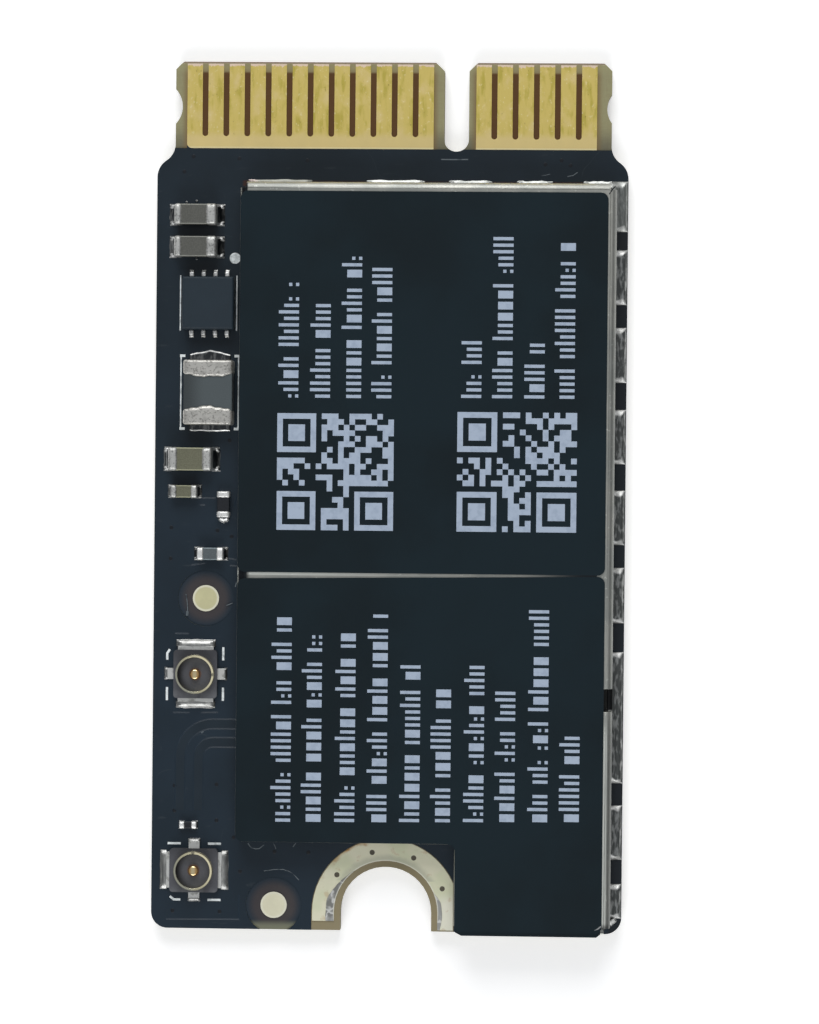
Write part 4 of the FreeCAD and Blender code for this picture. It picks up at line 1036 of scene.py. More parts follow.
# the ferrite body gets a painted sheen across its width
FERRITE = CeramicFinish("ferrite_body", "ferrite", tint=(0.066, 0.080, 0.085), rough=0.42,
                        drift=(-7.75, -6.95))
GLAZE = CeramicFinish("glazed_body", "black_glaze", tint=(0.016, 0.018, 0.022), rough=0.25)
CAN = SheetFinish("crystal_lid", "crystal_can")
# painted shade: the frame's sheet, which lies in shade under the lid, made nearly black
SHADED_FRAME_SHEET = SheetFinish("frame_sheet", silver=(0.05, 0.05, 0.048), dull=(0.02, 0.02, 0.02),
                          bright=(0.12, 0.12, 0.11))
FILM = FilmFinish()


@dataclass(frozen=True)
class Box:
    """A CAD node's box, in millimetres."""

    low: Vector
    high: Vector

    @classmethod
    def of(cls, node: str) -> "Box":
        """Reads a node's box from the frame."""
        low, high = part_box(node)
        return cls(low / MM, high / MM)

    @property
    def centre(self) -> Vector:
        """The box's middle."""
        return (self.low + self.high) / 2

    @property
    def size(self) -> Vector:
        """The box's lengths."""
        return self.high - self.low


def dress(node: str, finish: Finish, edge: float = 0.0, steps: int = 3) -> None:
    """Gives a CAD node its finish, and softens its edges.

    Args:
        node: the node's name.
        finish: what it is made of.
        edge: how wide its edges are rounded, in millimetres.
        steps: divisions of that rounding.
    """
    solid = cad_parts[node]
    solid.material_slots[0].material = material_of(finish)
    if edge:
        weld = solid.modifiers.new("joined_faces", "WELD")
        weld.merge_threshold = WELD * MM
        rounding = solid.modifiers.new("rounded_edges", "BEVEL")
        rounding.width = edge * MM
        rounding.segments = steps
        rounding.limit_method = "ANGLE"
        rounding.angle_limit = EDGE_ANGLE
    LOG.info("%s: %s", node, finish.name)


class Sculpt:
    """A mesh in millimetres, put together from closed solids, that becomes one piece of the card.

    Attributes:
        ROUNDING: shares of its rounding at which a cushion's edge is divided.
        CELL: length of a cushion's other divisions.
        MOUND: shares of a dome's radius and height, from its foot up.
    """

    ROUNDING = (0.0, 0.42, 0.73, 1.0)
    CELL = 0.07
    MOUND = ((1.0, 0.0), (0.96, 0.5), (0.85, 0.82), (0.6, 0.96))

    def __init__(self) -> None:
        """Starts empty."""
        self.mesh = bmesh.new()

    def pillow(self, surface: Callable[[float, float], Vector], columns: int, rows: int,
               floor: float) -> None:
        """Adds a closed solid under a patch of surface.

        Args:
            surface: the patch's point at two places between 0 and 1.
            columns: divisions along the first.
            rows: divisions along the second.
            floor: height of the solid's flat underside.
        """
        tops = []
        feet = []
        for i in range(columns + 1):
            points = [surface(i / columns, j / rows) for j in range(rows + 1)]
            tops.append([self.mesh.verts.new(point) for point in points])
            feet.append([self.mesh.verts.new((point.x, point.y, floor)) for point in points])
        for i in range(columns):
            for j in range(rows):
                face = self.mesh.faces.new((tops[i][j], tops[i + 1][j], tops[i + 1][j + 1], tops[i][j + 1]))
                face.smooth = True
                self.mesh.faces.new((feet[i][j], feet[i][j + 1], feet[i + 1][j + 1], feet[i + 1][j]))
        rim = [(i, 0) for i in range(columns)] + [(columns, j) for j in range(rows)]
        rim += [(i, rows) for i in range(columns, 0, -1)] + [(0, j) for j in range(rows, 0, -1)]
        for (a, b), (c, d) in zip(rim, rim[1:] + rim[:1]):
            self.mesh.faces.new((tops[a][b], feet[a][b], feet[c][d], tops[c][d]))

    def shell(self, rings: Sequence[Sequence[Sequence[float]]], smooth: bool = False) -> None:
        """Adds a closed solid through rings of points.

        Args:
            rings: the rings, each with as many points as the others.
            smooth: whether its sides look round.
        """
        loops = [[self.mesh.verts.new(point) for point in ring] for ring in rings]
        for lower, upper in zip(loops, loops[1:]):
            for i, corner in enumerate(lower):
                face = self.mesh.faces.new((lower[i - 1], corner, upper[i], upper[i - 1]))
                face.smooth = smooth
        self.mesh.faces.new(loops[0][::-1])
        self.mesh.faces.new(loops[-1])

    def slab(self, outline: Sequence[Point], low: float, high: float) -> None:
        """Adds a flat plate between two heights, from its corners in anticlockwise order."""
        self.shell([[(*point, height) for point in outline] for height in (low, high)])

    def tile(self, x: Point, y: Point, low: float, high: float) -> None:
        """Adds a rectangular plate."""
        self.slab([(x[0], y[0]), (x[1], y[0]), (x[1], y[1]), (x[0], y[1])], low, high)

    @staticmethod
    def banks(path: Sequence[Point], width: float) -> list[tuple[Point, Point]]:
        """Gives both sides of a path at each of its points, mitred at the corners.

        Args:
            path: the middle line.
            width: distance between the sides.

        Returns:
            The left and right point beside each point.
        """
        points = [Vector(point) for point in path]
        pairs = []
        for i, point in enumerate(points):
            before = (point - points[max(i - 1, 0)]).normalized()
            after = (points[min(i + 1, len(points) - 1)] - point).normalized()
            heading = (before + after).normalized()
            side = Vector((-heading.y, heading.x))
            reach = width / 2 / max(heading.dot(after if after.length else before), 0.5)
            pairs.append((tuple(point + side * reach), tuple(point - side * reach)))
        return pairs

    def line(self, path: Sequence[Point], width: float, low: float, high: float) -> None:
        """Adds a flat line.

        Args:
            path: its middle line.
            width: its width.
            low: height of its underside.
            high: height of its upper face.
        """
        pairs = self.banks(path, width)
        for (left, right), (next_left, next_right) in zip(pairs, pairs[1:]):
            self.slab([right, next_right, next_left, left], low, high)

    def ridge(self, path: Sequence[Point], width: float, low: float, height: float) -> None:
        """Adds a ridge along a path, of that width and height and with its underside at low."""
        sides = zip(self.banks(path, width), path)
        self.shell([((*left, low), (*crest, low + height), (*right, low)) for (left, right), crest in sides])

    def cushion(self, low: Vector, high: Vector, radius: float, warp: Callable[[Vector], Vector]) -> None:
        """Adds a block with rounded edges.

        Args:
            low: its lowest corner.
            high: its highest corner.
            radius: rounding of its edges.
            warp: moves each point of its surface.
        """
        axes = []
        for start, end in zip(low, high):
            span = end - start - 2 * radius
            inner = max(1, round(span / self.CELL))
            middle = [start + radius + span * i / inner for i in range(1, inner)]
            axes.append([start + radius * step for step in self.ROUNDING] + middle
                        + [end - radius * step for step in reversed(self.ROUNDING)])
        core_low = low + Vector((radius, radius, radius))
        core_high = high - Vector((radius, radius, radius))
        spots: dict[tuple[int, ...], bmesh.types.BMVert] = {}

        def spot(index: tuple[int, ...]) -> bmesh.types.BMVert:
            """Gives the vertex at a place of the lattice.

            Args:
                index: the place along each axis.

            Returns:
                The vertex, made where there was none.
            """
            if index not in spots:
                point = Vector([axis[i] for axis, i in zip(axes, index)])
                core = Vector([min(max(part, a), b) for part, a, b in zip(point, core_low, core_high)])
                offset = point - core
                spots[index] = self.mesh.verts.new(warp(core + offset.normalized() * radius))
            return spots[index]

        for axis in range(3):
            first, second = (axis + 1) % 3, (axis + 2) % 3
            for end in (0, len(axes[axis]) - 1):
                for i in range(len(axes[first]) - 1):
                    for j in range(len(axes[second]) - 1):
                        corners = []
                        for a, b in ((i, j), (i + 1, j), (i + 1, j + 1), (i, j + 1)):
                            index = [0, 0, 0]
                            index[axis], index[first], index[second] = end, a, b
                            corners.append(spot(tuple(index)))
                        face = self.mesh.faces.new(corners if end else corners[::-1])
                        face.smooth = True

    def dome(self, centre: Point, radius: float, low: float, height: float, steps: int = 24) -> None:
        """Adds a low round mound of that height, with its underside at low and that many points around it."""
        rings = [(circle(centre, radius * share, steps), low + height * lift) for share, lift in self.MOUND]
        self.shell([[(*point, level) for point in ring] for ring, level in rings], smooth=True)

    def piece(self, name: str, finish: Finish, nodes: Iterable[str] = ()) -> None:
        """Turns the mesh into a piece of the card.

        Args:
            name: the piece's name.
            finish: what it is made of.
            nodes: CAD nodes that it stands for.
        """
        bmesh.ops.recalc_face_normals(self.mesh, faces=self.mesh.faces)
        bmesh.ops.scale(self.mesh, vec=(MM, MM, MM), verts=self.mesh.verts)
        data = bpy.data.meshes.new(name)
        self.mesh.to_mesh(data)
        self.mesh.free()
        data.materials.append(material_of(finish))
        piece = bpy.data.objects.new(name, data)
        bpy.context.scene.collection.objects.link(piece)
        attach(piece, BODY)
        if nodes:
            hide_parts(*nodes)
        LOG.info("%s: %d faces of %s", name, len(data.polygons), finish.name)


@dataclass(frozen=True)
class SolderJoint:
    """A hollow-faced solder fillet that runs from an upright face out over its pad.

    Attributes:
        foot: middle of the line where the upright face meets the board.
        outward: level direction in which the solder runs out.
        width: length of the joint along the face.
        reach: how far it runs out.
        height: how far it climbs.
        ears: height of the mounds near the joint's two ends.
        ear_inset: how far the mounds lie from the ends.
        phase: shifts the solder's waves, so that no two joints are alike.
        ear_out: where the mounds lie on the way out, and how far they spread.
        ragged: how uneven the solder's outer edge is.
        peak: how much further the middle runs out.
        bead: thickness of the solder on the pad.
        end_run: length over which it slopes down at both ends.
        hollow: whether its face is hollow; it is full otherwise.
        COLUMNS: divisions on the way out.
        LEAST_ROWS: least divisions along the face.
        ROW: length of those divisions on a long joint.
    """

    COLUMNS = 14
    LEAST_ROWS = 16
    ROW = 0.03

    foot: Vector
    outward: Vector
    width: float
    reach: float
    height: float
    ears: float = 0.03
    ear_inset: float = 0.1
    phase: float = 0.0
    ear_out: Point = (0.7, 0.26)
    ragged: float = 0.05
    peak: float = 0.0
    bead: float = 0.02
    end_run: float = 0.03
    hollow: bool = True

    def point(self, out: float, along: float) -> Vector:
        """Gives the solder's surface.

        Args:
            out: share of the reach.
            along: share of the width.

        Returns:
            The point in millimetres.
        """
        side = 2 * along - 1
        across = Vector((-self.outward.y, self.outward.x, 0.0))
        inset = (1 - abs(side)) * self.width / 2
        wave = wavy(side, self.phase, 5.3, 11.0, 2.1)
        reach = self.reach * (1 - self.ragged * (1 + side ** 8 - wave * out) + self.peak * (1 - abs(side)))
        climb = ((1 - out) ** 2.2 if self.hollow else 1 - out ** 3) * (1 - 0.75 * abs(side) ** 7)
        place, spread = self.ear_out
        near_end = (inset - self.ear_inset) / (self.ear_inset * 0.6)
        ear = math.exp(-((out - place) / spread) ** 4 - near_end ** 2)
        slope = min(1.0, inset / (self.end_run * (1 + 0.4 * math.sin(7 * out + 1.7 * self.phase + side))))
        rim = min(1.0, 6.0 * (1 - out)) * slope * (2 - slope)
        ripple = math.sin(17 * side + 3 * self.phase) * 0.0025 * out
        lift = self.height * climb + (self.ears * ear + ripple + self.bead) * rim
        level = self.foot + self.outward * (reach * out) + across * (side * self.width / 2)
        return level + Vector((0.0, 0.0, lift))

    def build(self, sculpt: Sculpt) -> None:
        """Adds the joint to a mesh."""
        rows = max(self.LEAST_ROWS, int(self.width / self.ROW))
        sculpt.pillow(self.point, self.COLUMNS, rows, self.foot.z)


class Axis(Enum):
    """The way that a chip part lies."""

    ACROSS = (1.0, 0.0)
    ALONG = (0.0, 1.0)


@dataclass
class ChipPart:
    """A chip part with two dipped end caps, soldered to its pads.

    Attributes:
        name: the part's name in the CAD nodes.
        axis: the way it lies.
        ceramic: what its body is made of.
        bands: how far each end cap reaches over the body.
        reach: how far its solder runs out.
        climb: share of its height that the solder climbs.
        ears: height of the solder's corner mounds, as a share of the part's width.
        cap_round: rounding of the end caps.
        bellies: how far the middle of each cap's inner edge stands in.
        ragged: depth of the waves in that edge.
        swell: how far the caps' upper face bulges.
        peaks: how much further the middle of each end's solder runs out.
        spread: width of the solder, as a share of the part's width.
        soldered: share of the reach at each end; an end without any stays bare.
        full: whether the solder's face is full and not hollow.
        tin: the caps' finish.
        body_round: rounding of the body's edges.
        lap: how far the solder starts under the caps' end.
        ear_inset: how far its mounds lie from its ends, as a share of the part's width.
        ear_out: where the mounds lie on the way out, and how far they spread.
    """

    name: str
    axis: Axis
    ceramic: Finish
    bands: Point
    reach: float = 0.27
    climb: float = 0.5
    ears: float = 0.1
    cap_round: float = 0.1
    bellies: Point = (0.0, 0.0)
    ragged: float = 0.012
    swell: float = 0.045
    peaks: Point = (0.0, 0.0)
    spread: float = 1.04
    soldered: Point = (1.0, 1.0)
    full: bool = False
    tin: Finish = TIN
    body_round: float = 0.06
    lap: float = 0.05
    ear_inset: float = 0.11
    ear_out: Point = (0.8, 0.28)

    @property
    def box(self) -> Box:
        """The box of both end caps."""
        return Box.of(f"{self.name}_end_caps")

    def build(self, solder: Sculpt) -> None:
        """Finishes the body, dips the end caps and adds the joints at both ends.

        Args:
            solder: the card's chip solder.
        """
        dress(f"{self.name}_body", self.ceramic, self.body_round)
        caps = Sculpt()
        for end in (0, 1):
            self.dip_cap(caps, end)
            if self.soldered[end]:
                self.add_joint(solder, end)
        caps.piece(f"{self.name}_dipped_caps", self.tin, [f"{self.name}_end_caps"])

    def dip_cap(self, caps: Sculpt, end: int) -> None:
        """Adds one rounded cap with a ragged inner edge.

        Args:
            caps: the part's caps.
            end: which end it sits on, 0 or 1.
        """
        box = self.box
        low, high = box.low.copy(), box.high.copy()
        along = 0 if self.axis is Axis.ACROSS else 1
        sign = 2.0 * end - 1.0
        band, belly = self.bands[end], self.bellies[end]
        outer = (low, high)[end][along]
        (high, low)[end][along] = outer - sign * band
        middle = (low + high) / 2
        half = (high - low) / 2
        phase = box.centre.y * 2.3 + sign

        def dip(point: Vector) -> Vector:
            """Moves a point of the rounded block to the dipped surface.

            Args:
                point: the point.

            Returns:
                Where it goes.
            """
            side = (point[1 - along] - middle[1 - along]) / half[1 - along]
            depth = abs(point[along] - outer) / band
            wave = wavy(side, phase, 7.0, 17.0, 2.3)
            inward = max(0.0, 2 * depth - 1) * (belly * (1 - side * side) + self.ragged * wave)
            lift = max(0.0, (point.z - middle.z) / half.z) * self.swell * (1 - side ** 4)
            moved = point + Vector((0.0, 0.0, lift))
            moved[along] -= sign * inward
            return moved

        caps.cushion(low, high, self.cap_round, dip)

    def add_joint(self, solder: Sculpt, end: int) -> None:
        """Adds the joint at one end.

        Args:
            solder: the card's chip solder.
            end: which end it is at, 0 or 1.
        """
        box = self.box
        sign = 2.0 * end - 1.0
        outward = Vector((*self.axis.value, 0.0)) * sign
        half = abs(box.size.dot(outward)) / 2
        width = abs(box.size.dot(Vector((outward.y, outward.x, 0.0))))
        foot = Vector((box.centre.x, box.centre.y, box.low.z)) + outward * (half - self.lap)
        reach = self.reach * self.soldered[end] + self.lap
        SolderJoint(foot, outward, width * self.spread, reach, box.size.z * self.climb, self.ears * width,
                    self.ear_inset * width, phase=box.centre.y * 3.7 + sign, ear_out=self.ear_out,
                    peak=self.peaks[end], hollow=not self.full).build(solder)


@dataclass
class ChipLane:
    """The chip parts in the lane beside the shield, with the regulator among them."""

    parts: list[ChipPart] = field(default_factory=lambda: [
        ChipPart("input_capacitor_upper", Axis.ACROSS, GREY, (0.28, 0.41)),
        ChipPart("input_capacitor_lower", Axis.ACROSS, GREY, (0.28, 0.40)),
        ChipPart("inductor", Axis.ALONG, FERRITE, (0.55, 0.55), 0.25, climb=0.01, ears=0.0, cap_round=0.09,
                 bellies=(0.17, 0.10), ragged=0.035, swell=0.07, peaks=(0.0, 0.55), spread=0.84,
                 tin=WARM_TIN),
        ChipPart("output_capacitor", Axis.ACROSS, OLIVE, (0.35, 0.38)),
        ChipPart("feedback_capacitor", Axis.ACROSS, OLIVE, (0.22, 0.24), 0.16, ears=0.08, cap_round=0.055),
        ChipPart("feedback_resistor", Axis.ALONG, GLAZE, (0.24, 0.24), 0.13, climb=0.3, ears=0.0,
                 cap_round=0.055, peaks=(0.5, 0.0), spread=0.85, soldered=(1.0, 0.0), full=True,
                 tin=LEAD_TIN),
        ChipPart("bypass_capacitor", Axis.ACROSS, SLATE, (0.24, 0.25), 0.16, ears=0.08, cap_round=0.055,
                 tin=LEAD_TIN),
        ChipPart("matching_part", Axis.ACROSS, GLAZE, (0.20, 0.20), 0.04, climb=0.3, ears=0.0, cap_round=0.04,
                 tin=LEAD_TIN),
    ])
    lead_count: int = 4
    lead_pitch: float = 0.45
    lead_width: float = 0.17
    lead_lap: float = 0.05
    lead_reach: float = 0.12
    lead_climb: float = 0.8
    lead_round: float = 0.05
    regulator_round: float = 0.03
    balls: tuple[Point, ...] = ((-7.44, 11.19), (-7.43, 8.99), (-7.82, 11.14))
    ball_radius: float = 0.045
    ball_steps: int = 12

    def build(self) -> None:
        """Builds the parts and adds their solder."""
        solder = Sculpt()
        for part in self.parts:
            part.build(solder)
        self.solder_leads(solder)
        floor = Box.of("chip_solder").low.z
        for ball in self.balls:
            solder.dome(ball, self.ball_radius, floor, self.ball_radius, self.ball_steps)
        solder.piece("chip_solder_joints", CHIP_SOLDER, ["chip_solder"])
        dress("regulator_body", MOULD, self.regulator_round)
        dress("regulator_leads", LEAD_TIN, self.lead_round)

    def solder_leads(self, solder: Sculpt) -> None:
        """Adds a small joint at the end of each regulator lead.

        Args:
            solder: the card's chip solder.
        """
        box = Box.of("regulator_leads")
        for sign, end in ((-1.0, box.low.y), (1.0, box.high.y)):
            for i in range(self.lead_count):
                x = box.centre.x + (i - (self.lead_count - 1) / 2) * self.lead_pitch
                foot = Vector((x, end - sign * self.lead_lap, box.low.z))
                SolderJoint(foot, Vector((0.0, sign, 0.0)), self.lead_width, self.lead_reach,
                            box.size.z * self.lead_climb, 0.0, phase=x * 5 + sign).build(solder)


@dataclass
class AntennaSocket:
    """A small coaxial socket: moulded base, ring shell with tabs, and centre pin.

    Attributes:
        name: the socket's name in the CAD nodes.
        turned: whether its ground tabs lie across the card.
        tab_reach: distance from the centre to the ends of the ground tabs.
        tab_width: width of the ground tabs.
        signal_reach: distance from the centre to the ends of the small tabs.
        signal_width: width of the small tabs.
        seam_reach: distance from the centre to the ring's seam.
        dash_shift: how far its board marks lie off its centre.
        dash_offset: distance of the marks from that place.
        dash_ends: where each mark starts and ends.
        bent: the mark that is bent at one end, as its side, its end and how far it bends.
        bend_back: how much shorter that mark is.
        tab_solder: width of the ground tabs' solder as a share of theirs, its reach and its height.
        signal_solder: the same for the small tabs.
        lap: how far the solder starts under a tab's end.
        rounding: rounding of the base's, shell's and pin's edges.
    """

    name: str
    turned: bool
    tab_reach: float = 1.06
    tab_width: float = 1.36
    signal_reach: float = 1.1
    signal_width: float = 0.42
    seam_reach: float = 0.7
    dash_shift: Point = (0.0, 0.0)
    dash_offset: float = 1.07
    dash_ends: Point = (0.52, 1.02)
    bent: Triple = (0.0, 0.0, 0.0)
    bend_back: float = 0.1
    dash_width: float = 0.085
    dash_height: float = 0.008
    tab_solder: Triple = (1.1, 0.27, 0.12)
    signal_solder: Triple = (1.14, 0.13, 0.10)
    lap: Point = (0.01, 0.02)
    rounding: Triple = (0.03, 0.04, 0.15)

    @property
    def centre(self) -> Vector:
        """Middle of the socket at the board."""
        base = Box.of(f"{self.name}_base")
        return Vector((base.centre.x, base.centre.y, base.low.z))

    def build(self, silk: Sculpt, solder: Sculpt) -> None:
        """Dresses the socket and adds its board marks and solder.

        Args:
            silk: the card's board markings.
            solder: the sockets' solder.
        """
        centre = self.centre
        ground = Vector((1.0, 0.0, 0.0)) if self.turned else Vector((0.0, 1.0, 0.0))
        signal = Vector((ground.y, ground.x, 0.0))
        seam = centre + signal * self.seam_reach
        plating = SocketFinish(f"{self.name}_plating", centre=(centre.x, centre.y), seam=(seam.x, seam.y))
        base_round, shell_round, pin_round = self.rounding
        plastic = WellFinish(f"{self.name}_plastic", centre=(centre.x, centre.y))
        dress(f"{self.name}_base", plastic, base_round)
        dress(f"{self.name}_shell", plating, shell_round, steps=4)
        dress(f"{self.name}_pin", plating, pin_round, steps=6)
        for sign in (-1.0, 1.0):
            phase = centre.y + sign * 1.7
            share, reach, height = self.tab_solder
            SolderJoint(centre + ground * sign * (self.tab_reach - self.lap[0]), ground * sign,
                        self.tab_width * share, reach, height, ears=0.03, ear_inset=0.12, phase=phase,
                        ear_out=(0.78, 0.25), bead=0.0, end_run=0.1, hollow=False).build(solder)
            share, reach, height = self.signal_solder
            SolderJoint(centre + signal * sign * (self.signal_reach - self.lap[1]), signal * sign,
                        self.signal_width * share, reach, height, ears=0.0, phase=phase, bead=0.01,
                        end_run=0.08, hollow=False).build(solder)
            self.mark(silk, ground, signal, sign)

    def mark(self, silk: Sculpt, along: Vector, beside: Vector, side: float) -> None:
        """Adds the two dashes at one side.

        Args:
            silk: the card's board markings.
            along: the way the dashes run.
            beside: the way across them.
            side: at which side they lie.
        """
        centre = self.centre + Vector((*self.dash_shift, 0.0))
        start, end = self.dash_ends
        bent_side, bent_end, shift = self.bent
        line = centre + beside * side * self.dash_offset
        for sign in (-1.0, 1.0):
            ends = [line + along * sign * place for place in (start, (start + end) / 2, end)]
            if (side, sign) == (bent_side, bent_end):
                ends[-1] = ends[-1] + beside * shift - along * sign * self.bend_back
            path = [(place.x, place.y) for place in ends]
            silk.line(path, self.dash_width, centre.z - SINK, centre.z + self.dash_height)


@dataclass
class Board:
    """The circuit board's own surface: finish, markings, traces, vias, scuff marks and painted highlights on
    the mask.
    """

    dot: Point = (-5.955, 9.02)
    dot_radius: float = 0.215
    regulator_lines: tuple[Point, Point] = ((-8.03, 8.36), (-5.88, 6.26))
    inductor_frame: tuple[Point, Point] = ((-7.985, 5.30), (-5.79, 2.53))
    frame_tick: float = 0.16
    marking: float = 0.008
    regulator_line: float = 0.045
    frame_line: float = 0.05
    tick_line: float = 0.1
    tick_lift: float = 0.001
    ring_margin: float = 0.1
    trace_start: Point = (-7.535, -12.0)
    trace_bend: float = 0.9
    bend_steps: int = 12
    trace_level: float = -9.05
    trace_end: float = -5.7
    trace_half: float = 0.17
    gap_half: float = 0.53
    gap_height: float = 0.002
    ridge_width: float = 0.07
    ridge_height: float = 0.0095
    pour_edges: tuple[tuple[Point, ...], ...] = (
        ((-8.37, -16.16), (-5.59, -16.13), (-5.60, -15.21)),
        ((-5.72, -9.60), (-5.70, -11.2)),
        ((-8.17, -8.28), (-7.55, -8.28)), ((-7.10, -8.27), (-6.47, -8.26)),
        ((-8.13, -5.27), (-7.60, -5.27)), ((-7.55, -0.11), (-6.62, -0.10)), ((-7.21, -0.38), (-7.02, -0.37)),
        ((-5.91, -0.43), (-5.83, -0.06)), ((-6.05, -2.67), (-5.72, -2.68)), ((-7.52, -2.66), (-7.0, -2.58)),
        ((-6.11, -2.40), (-5.81, -2.44)),
    )
    # Scuff marks, except the arc near y -14.3 at the rim of the lower fiducial's halo and the two short curves
    # near y 12.2 above the shield, which are painted highlights.
    scuffs_and_highlights: tuple[tuple[float, tuple[Point, ...]], ...] = (
        (0.035, ((-7.72, -3.77), (-7.66, -4.15), (-7.65, -4.45))), (0.09, ((-7.66, -4.42), (-7.67, -4.60))),
        (0.05, ((-5.79, -3.29), (-5.84, -3.48))), (0.03, ((-6.17, -4.19), (-5.92, -4.09))),
        (0.045, ((-5.27, -13.22), (-5.21, -13.33), (-5.11, -13.41), (-4.97, -13.44), (-4.84, -13.43),
                 (-4.66, -13.29))),
        (0.035, ((-4.31, -13.21), (-4.24, -13.32), (-4.20, -13.44))),
        (0.035, ((-3.55, -13.35), (-3.44, -13.20))),
        (0.04, ((-4.65, -14.28), (-4.28, -14.22), (-3.92, -14.21), (-3.70, -14.28), (-3.54, -14.37),
                (-3.31, -14.61))),
        (0.03, ((5.66, 12.22), (5.80, 12.24), (5.98, 12.29))),
        (0.04, ((6.64, 12.20), (6.85, 12.24), (7.02, 12.36))),
        (0.06, ((-7.08, -9.06), (-7.01, -8.99))), (0.05, ((1.84, 12.82), (2.35, 12.815), (2.87, 12.825))),
    )
    scuff_height: float = 0.006
    via_radius: float = 0.078
    via_height: float = 0.006
    via_steps: int = 16
    vias: tuple[Point, ...] = (
        (-7.58, 12.88), (-5.83, 12.81), (-3.23, 12.75), (6.41, 12.81), (5.80, 12.65), (6.75, 12.62),
        (-7.92, 12.30), (-6.11, 2.09), (-8.30, -1.24), (-6.54, -1.34), (-6.00, -1.56), (-8.32, -2.42),
        (-6.49, -11.01), (-8.09, -11.07), (-8.09, -12.02), (-6.48, -12.38), (-5.50, -12.36), (-5.82, -13.02),
        (-5.56, -14.31), (-8.13, -15.84), (-6.33, -15.85), (-4.25, -13.54), (-2.96, -13.55),
    )

    @property
    def top(self) -> float:
        """The mask's upper face."""
        return Box.of("circuit_board").high.z

    def build(self, silk: Sculpt) -> None:
        """Dresses the board and adds what lies on its mask.

        Args:
            silk: the card's board markings.
        """
        wide = Box.of("front_contacts_wide")
        narrow = Box.of("front_contacts_narrow")
        ring = Box.of("screw_ring_front")
        shield = Box.of("shield_lid")
        margin = self.ring_margin
        fiducials = (Box.of(f"fiducial_{end}").centre.xy for end in ("upper", "lower"))
        finish = BoardFinish(top=self.top, opening_end=wide.low.y, tip=wide.high.y,
                             contacts=((wide.low.x, wide.high.x), (narrow.low.x, narrow.high.x)),
                             ring_area=(ring.high.y + margin, ring.low.x - margin, ring.high.x + margin),
                             shield=(shield.low.x, shield.high.x, shield.high.y),
                             fiducials=tuple(tuple(centre) for centre in fiducials))
        dress("circuit_board", finish)
        self.print_marks(silk)
        self.lay_traces()
        self.plug_vias()
        self.scuff_and_highlight_mask()

    def print_marks(self, silk: Sculpt) -> None:
        """Adds the pin dot and the outlines at the regulator and the inductor.

        Args:
            silk: the card's board markings.
        """
        low, high = self.top - SINK, self.top + self.marking
        silk.dome(self.dot, self.dot_radius, low, self.marking + SINK)
        (left, upper), (right, lower) = self.regulator_lines
        for x in (left, right):
            silk.line([(x, lower), (x, upper)], self.regulator_line, low, high)
        (left, upper), (right, lower) = self.inductor_frame
        for x, tick in ((left, self.frame_tick), (right, -self.frame_tick)):
            silk.line([(x, upper), (x, lower)], self.frame_line, low, high)
            for y in (upper, lower):
                silk.line([(x - tick / 4, y), (x + tick, y)], self.tick_line, low, high + self.tick_lift)

    def trace_path(self, offset: float) -> list[Point]:
        """Gives a line beside the antenna trace, round its bend.

        Args:
            offset: distance to the trace's left.

        Returns:
            The line's points.
        """
        x, y = self.trace_start
        middle = (x + self.trace_bend, self.trace_level - self.trace_bend)
        radius = self.trace_bend + offset
        path = [(x - offset, y)]
        for i in range(self.bend_steps + 1):
            angle = math.pi - math.pi / 2 * i / self.bend_steps
            path.append((middle[0] + radius * math.cos(angle), middle[1] + radius * math.sin(angle)))
        path.append((self.trace_end, self.trace_level + offset))
        return path

    def lay_traces(self) -> None:
        """Adds the antenna trace's bare gaps and the copper edges that stand under the mask."""
        top = self.top
        gaps = Sculpt()
        edges = Sculpt()
        middle = (self.trace_half + self.gap_half) / 2
        paths = []
        for sign in (-1.0, 1.0):
            gaps.line(self.trace_path(sign * middle), self.gap_half - self.trace_half, top - SINK,
                      top + self.gap_height)
            for offset in (self.trace_half, self.gap_half):
                paths.append(self.trace_path(sign * offset))
        for path in (*paths, *self.pour_edges):
            edges.ridge(path, self.ridge_width, top - SINK / 2, self.ridge_height)
        gaps.piece("antenna_trace_gaps", GAP_MASK)
        edges.piece("antenna_trace_edges", MASK)

    def plug_vias(self) -> None:
        """Adds the dark plugs of the tented vias."""
        plugs = Sculpt()
        for via in self.vias:
            plugs.dome(via, self.via_radius, self.top - SINK, self.via_height, self.via_steps)
        plugs.piece("tented_vias", VIA_MASK)

    def scuff_and_highlight_mask(self) -> None:
        """Adds the pale scuff marks where something rubbed the mask, and the painted highlights on the mask at
        the lower fiducial's halo and above the shield.
        """
        scuffs_and_highlights = Sculpt()
        for width, path in self.scuffs_and_highlights:
            scuffs_and_highlights.ridge(path, width, self.top - SINK / 2, self.scuff_height)
        scuffs_and_highlights.piece("mask_scuffs_and_highlights", SCUFF_AND_HIGHLIGHT)


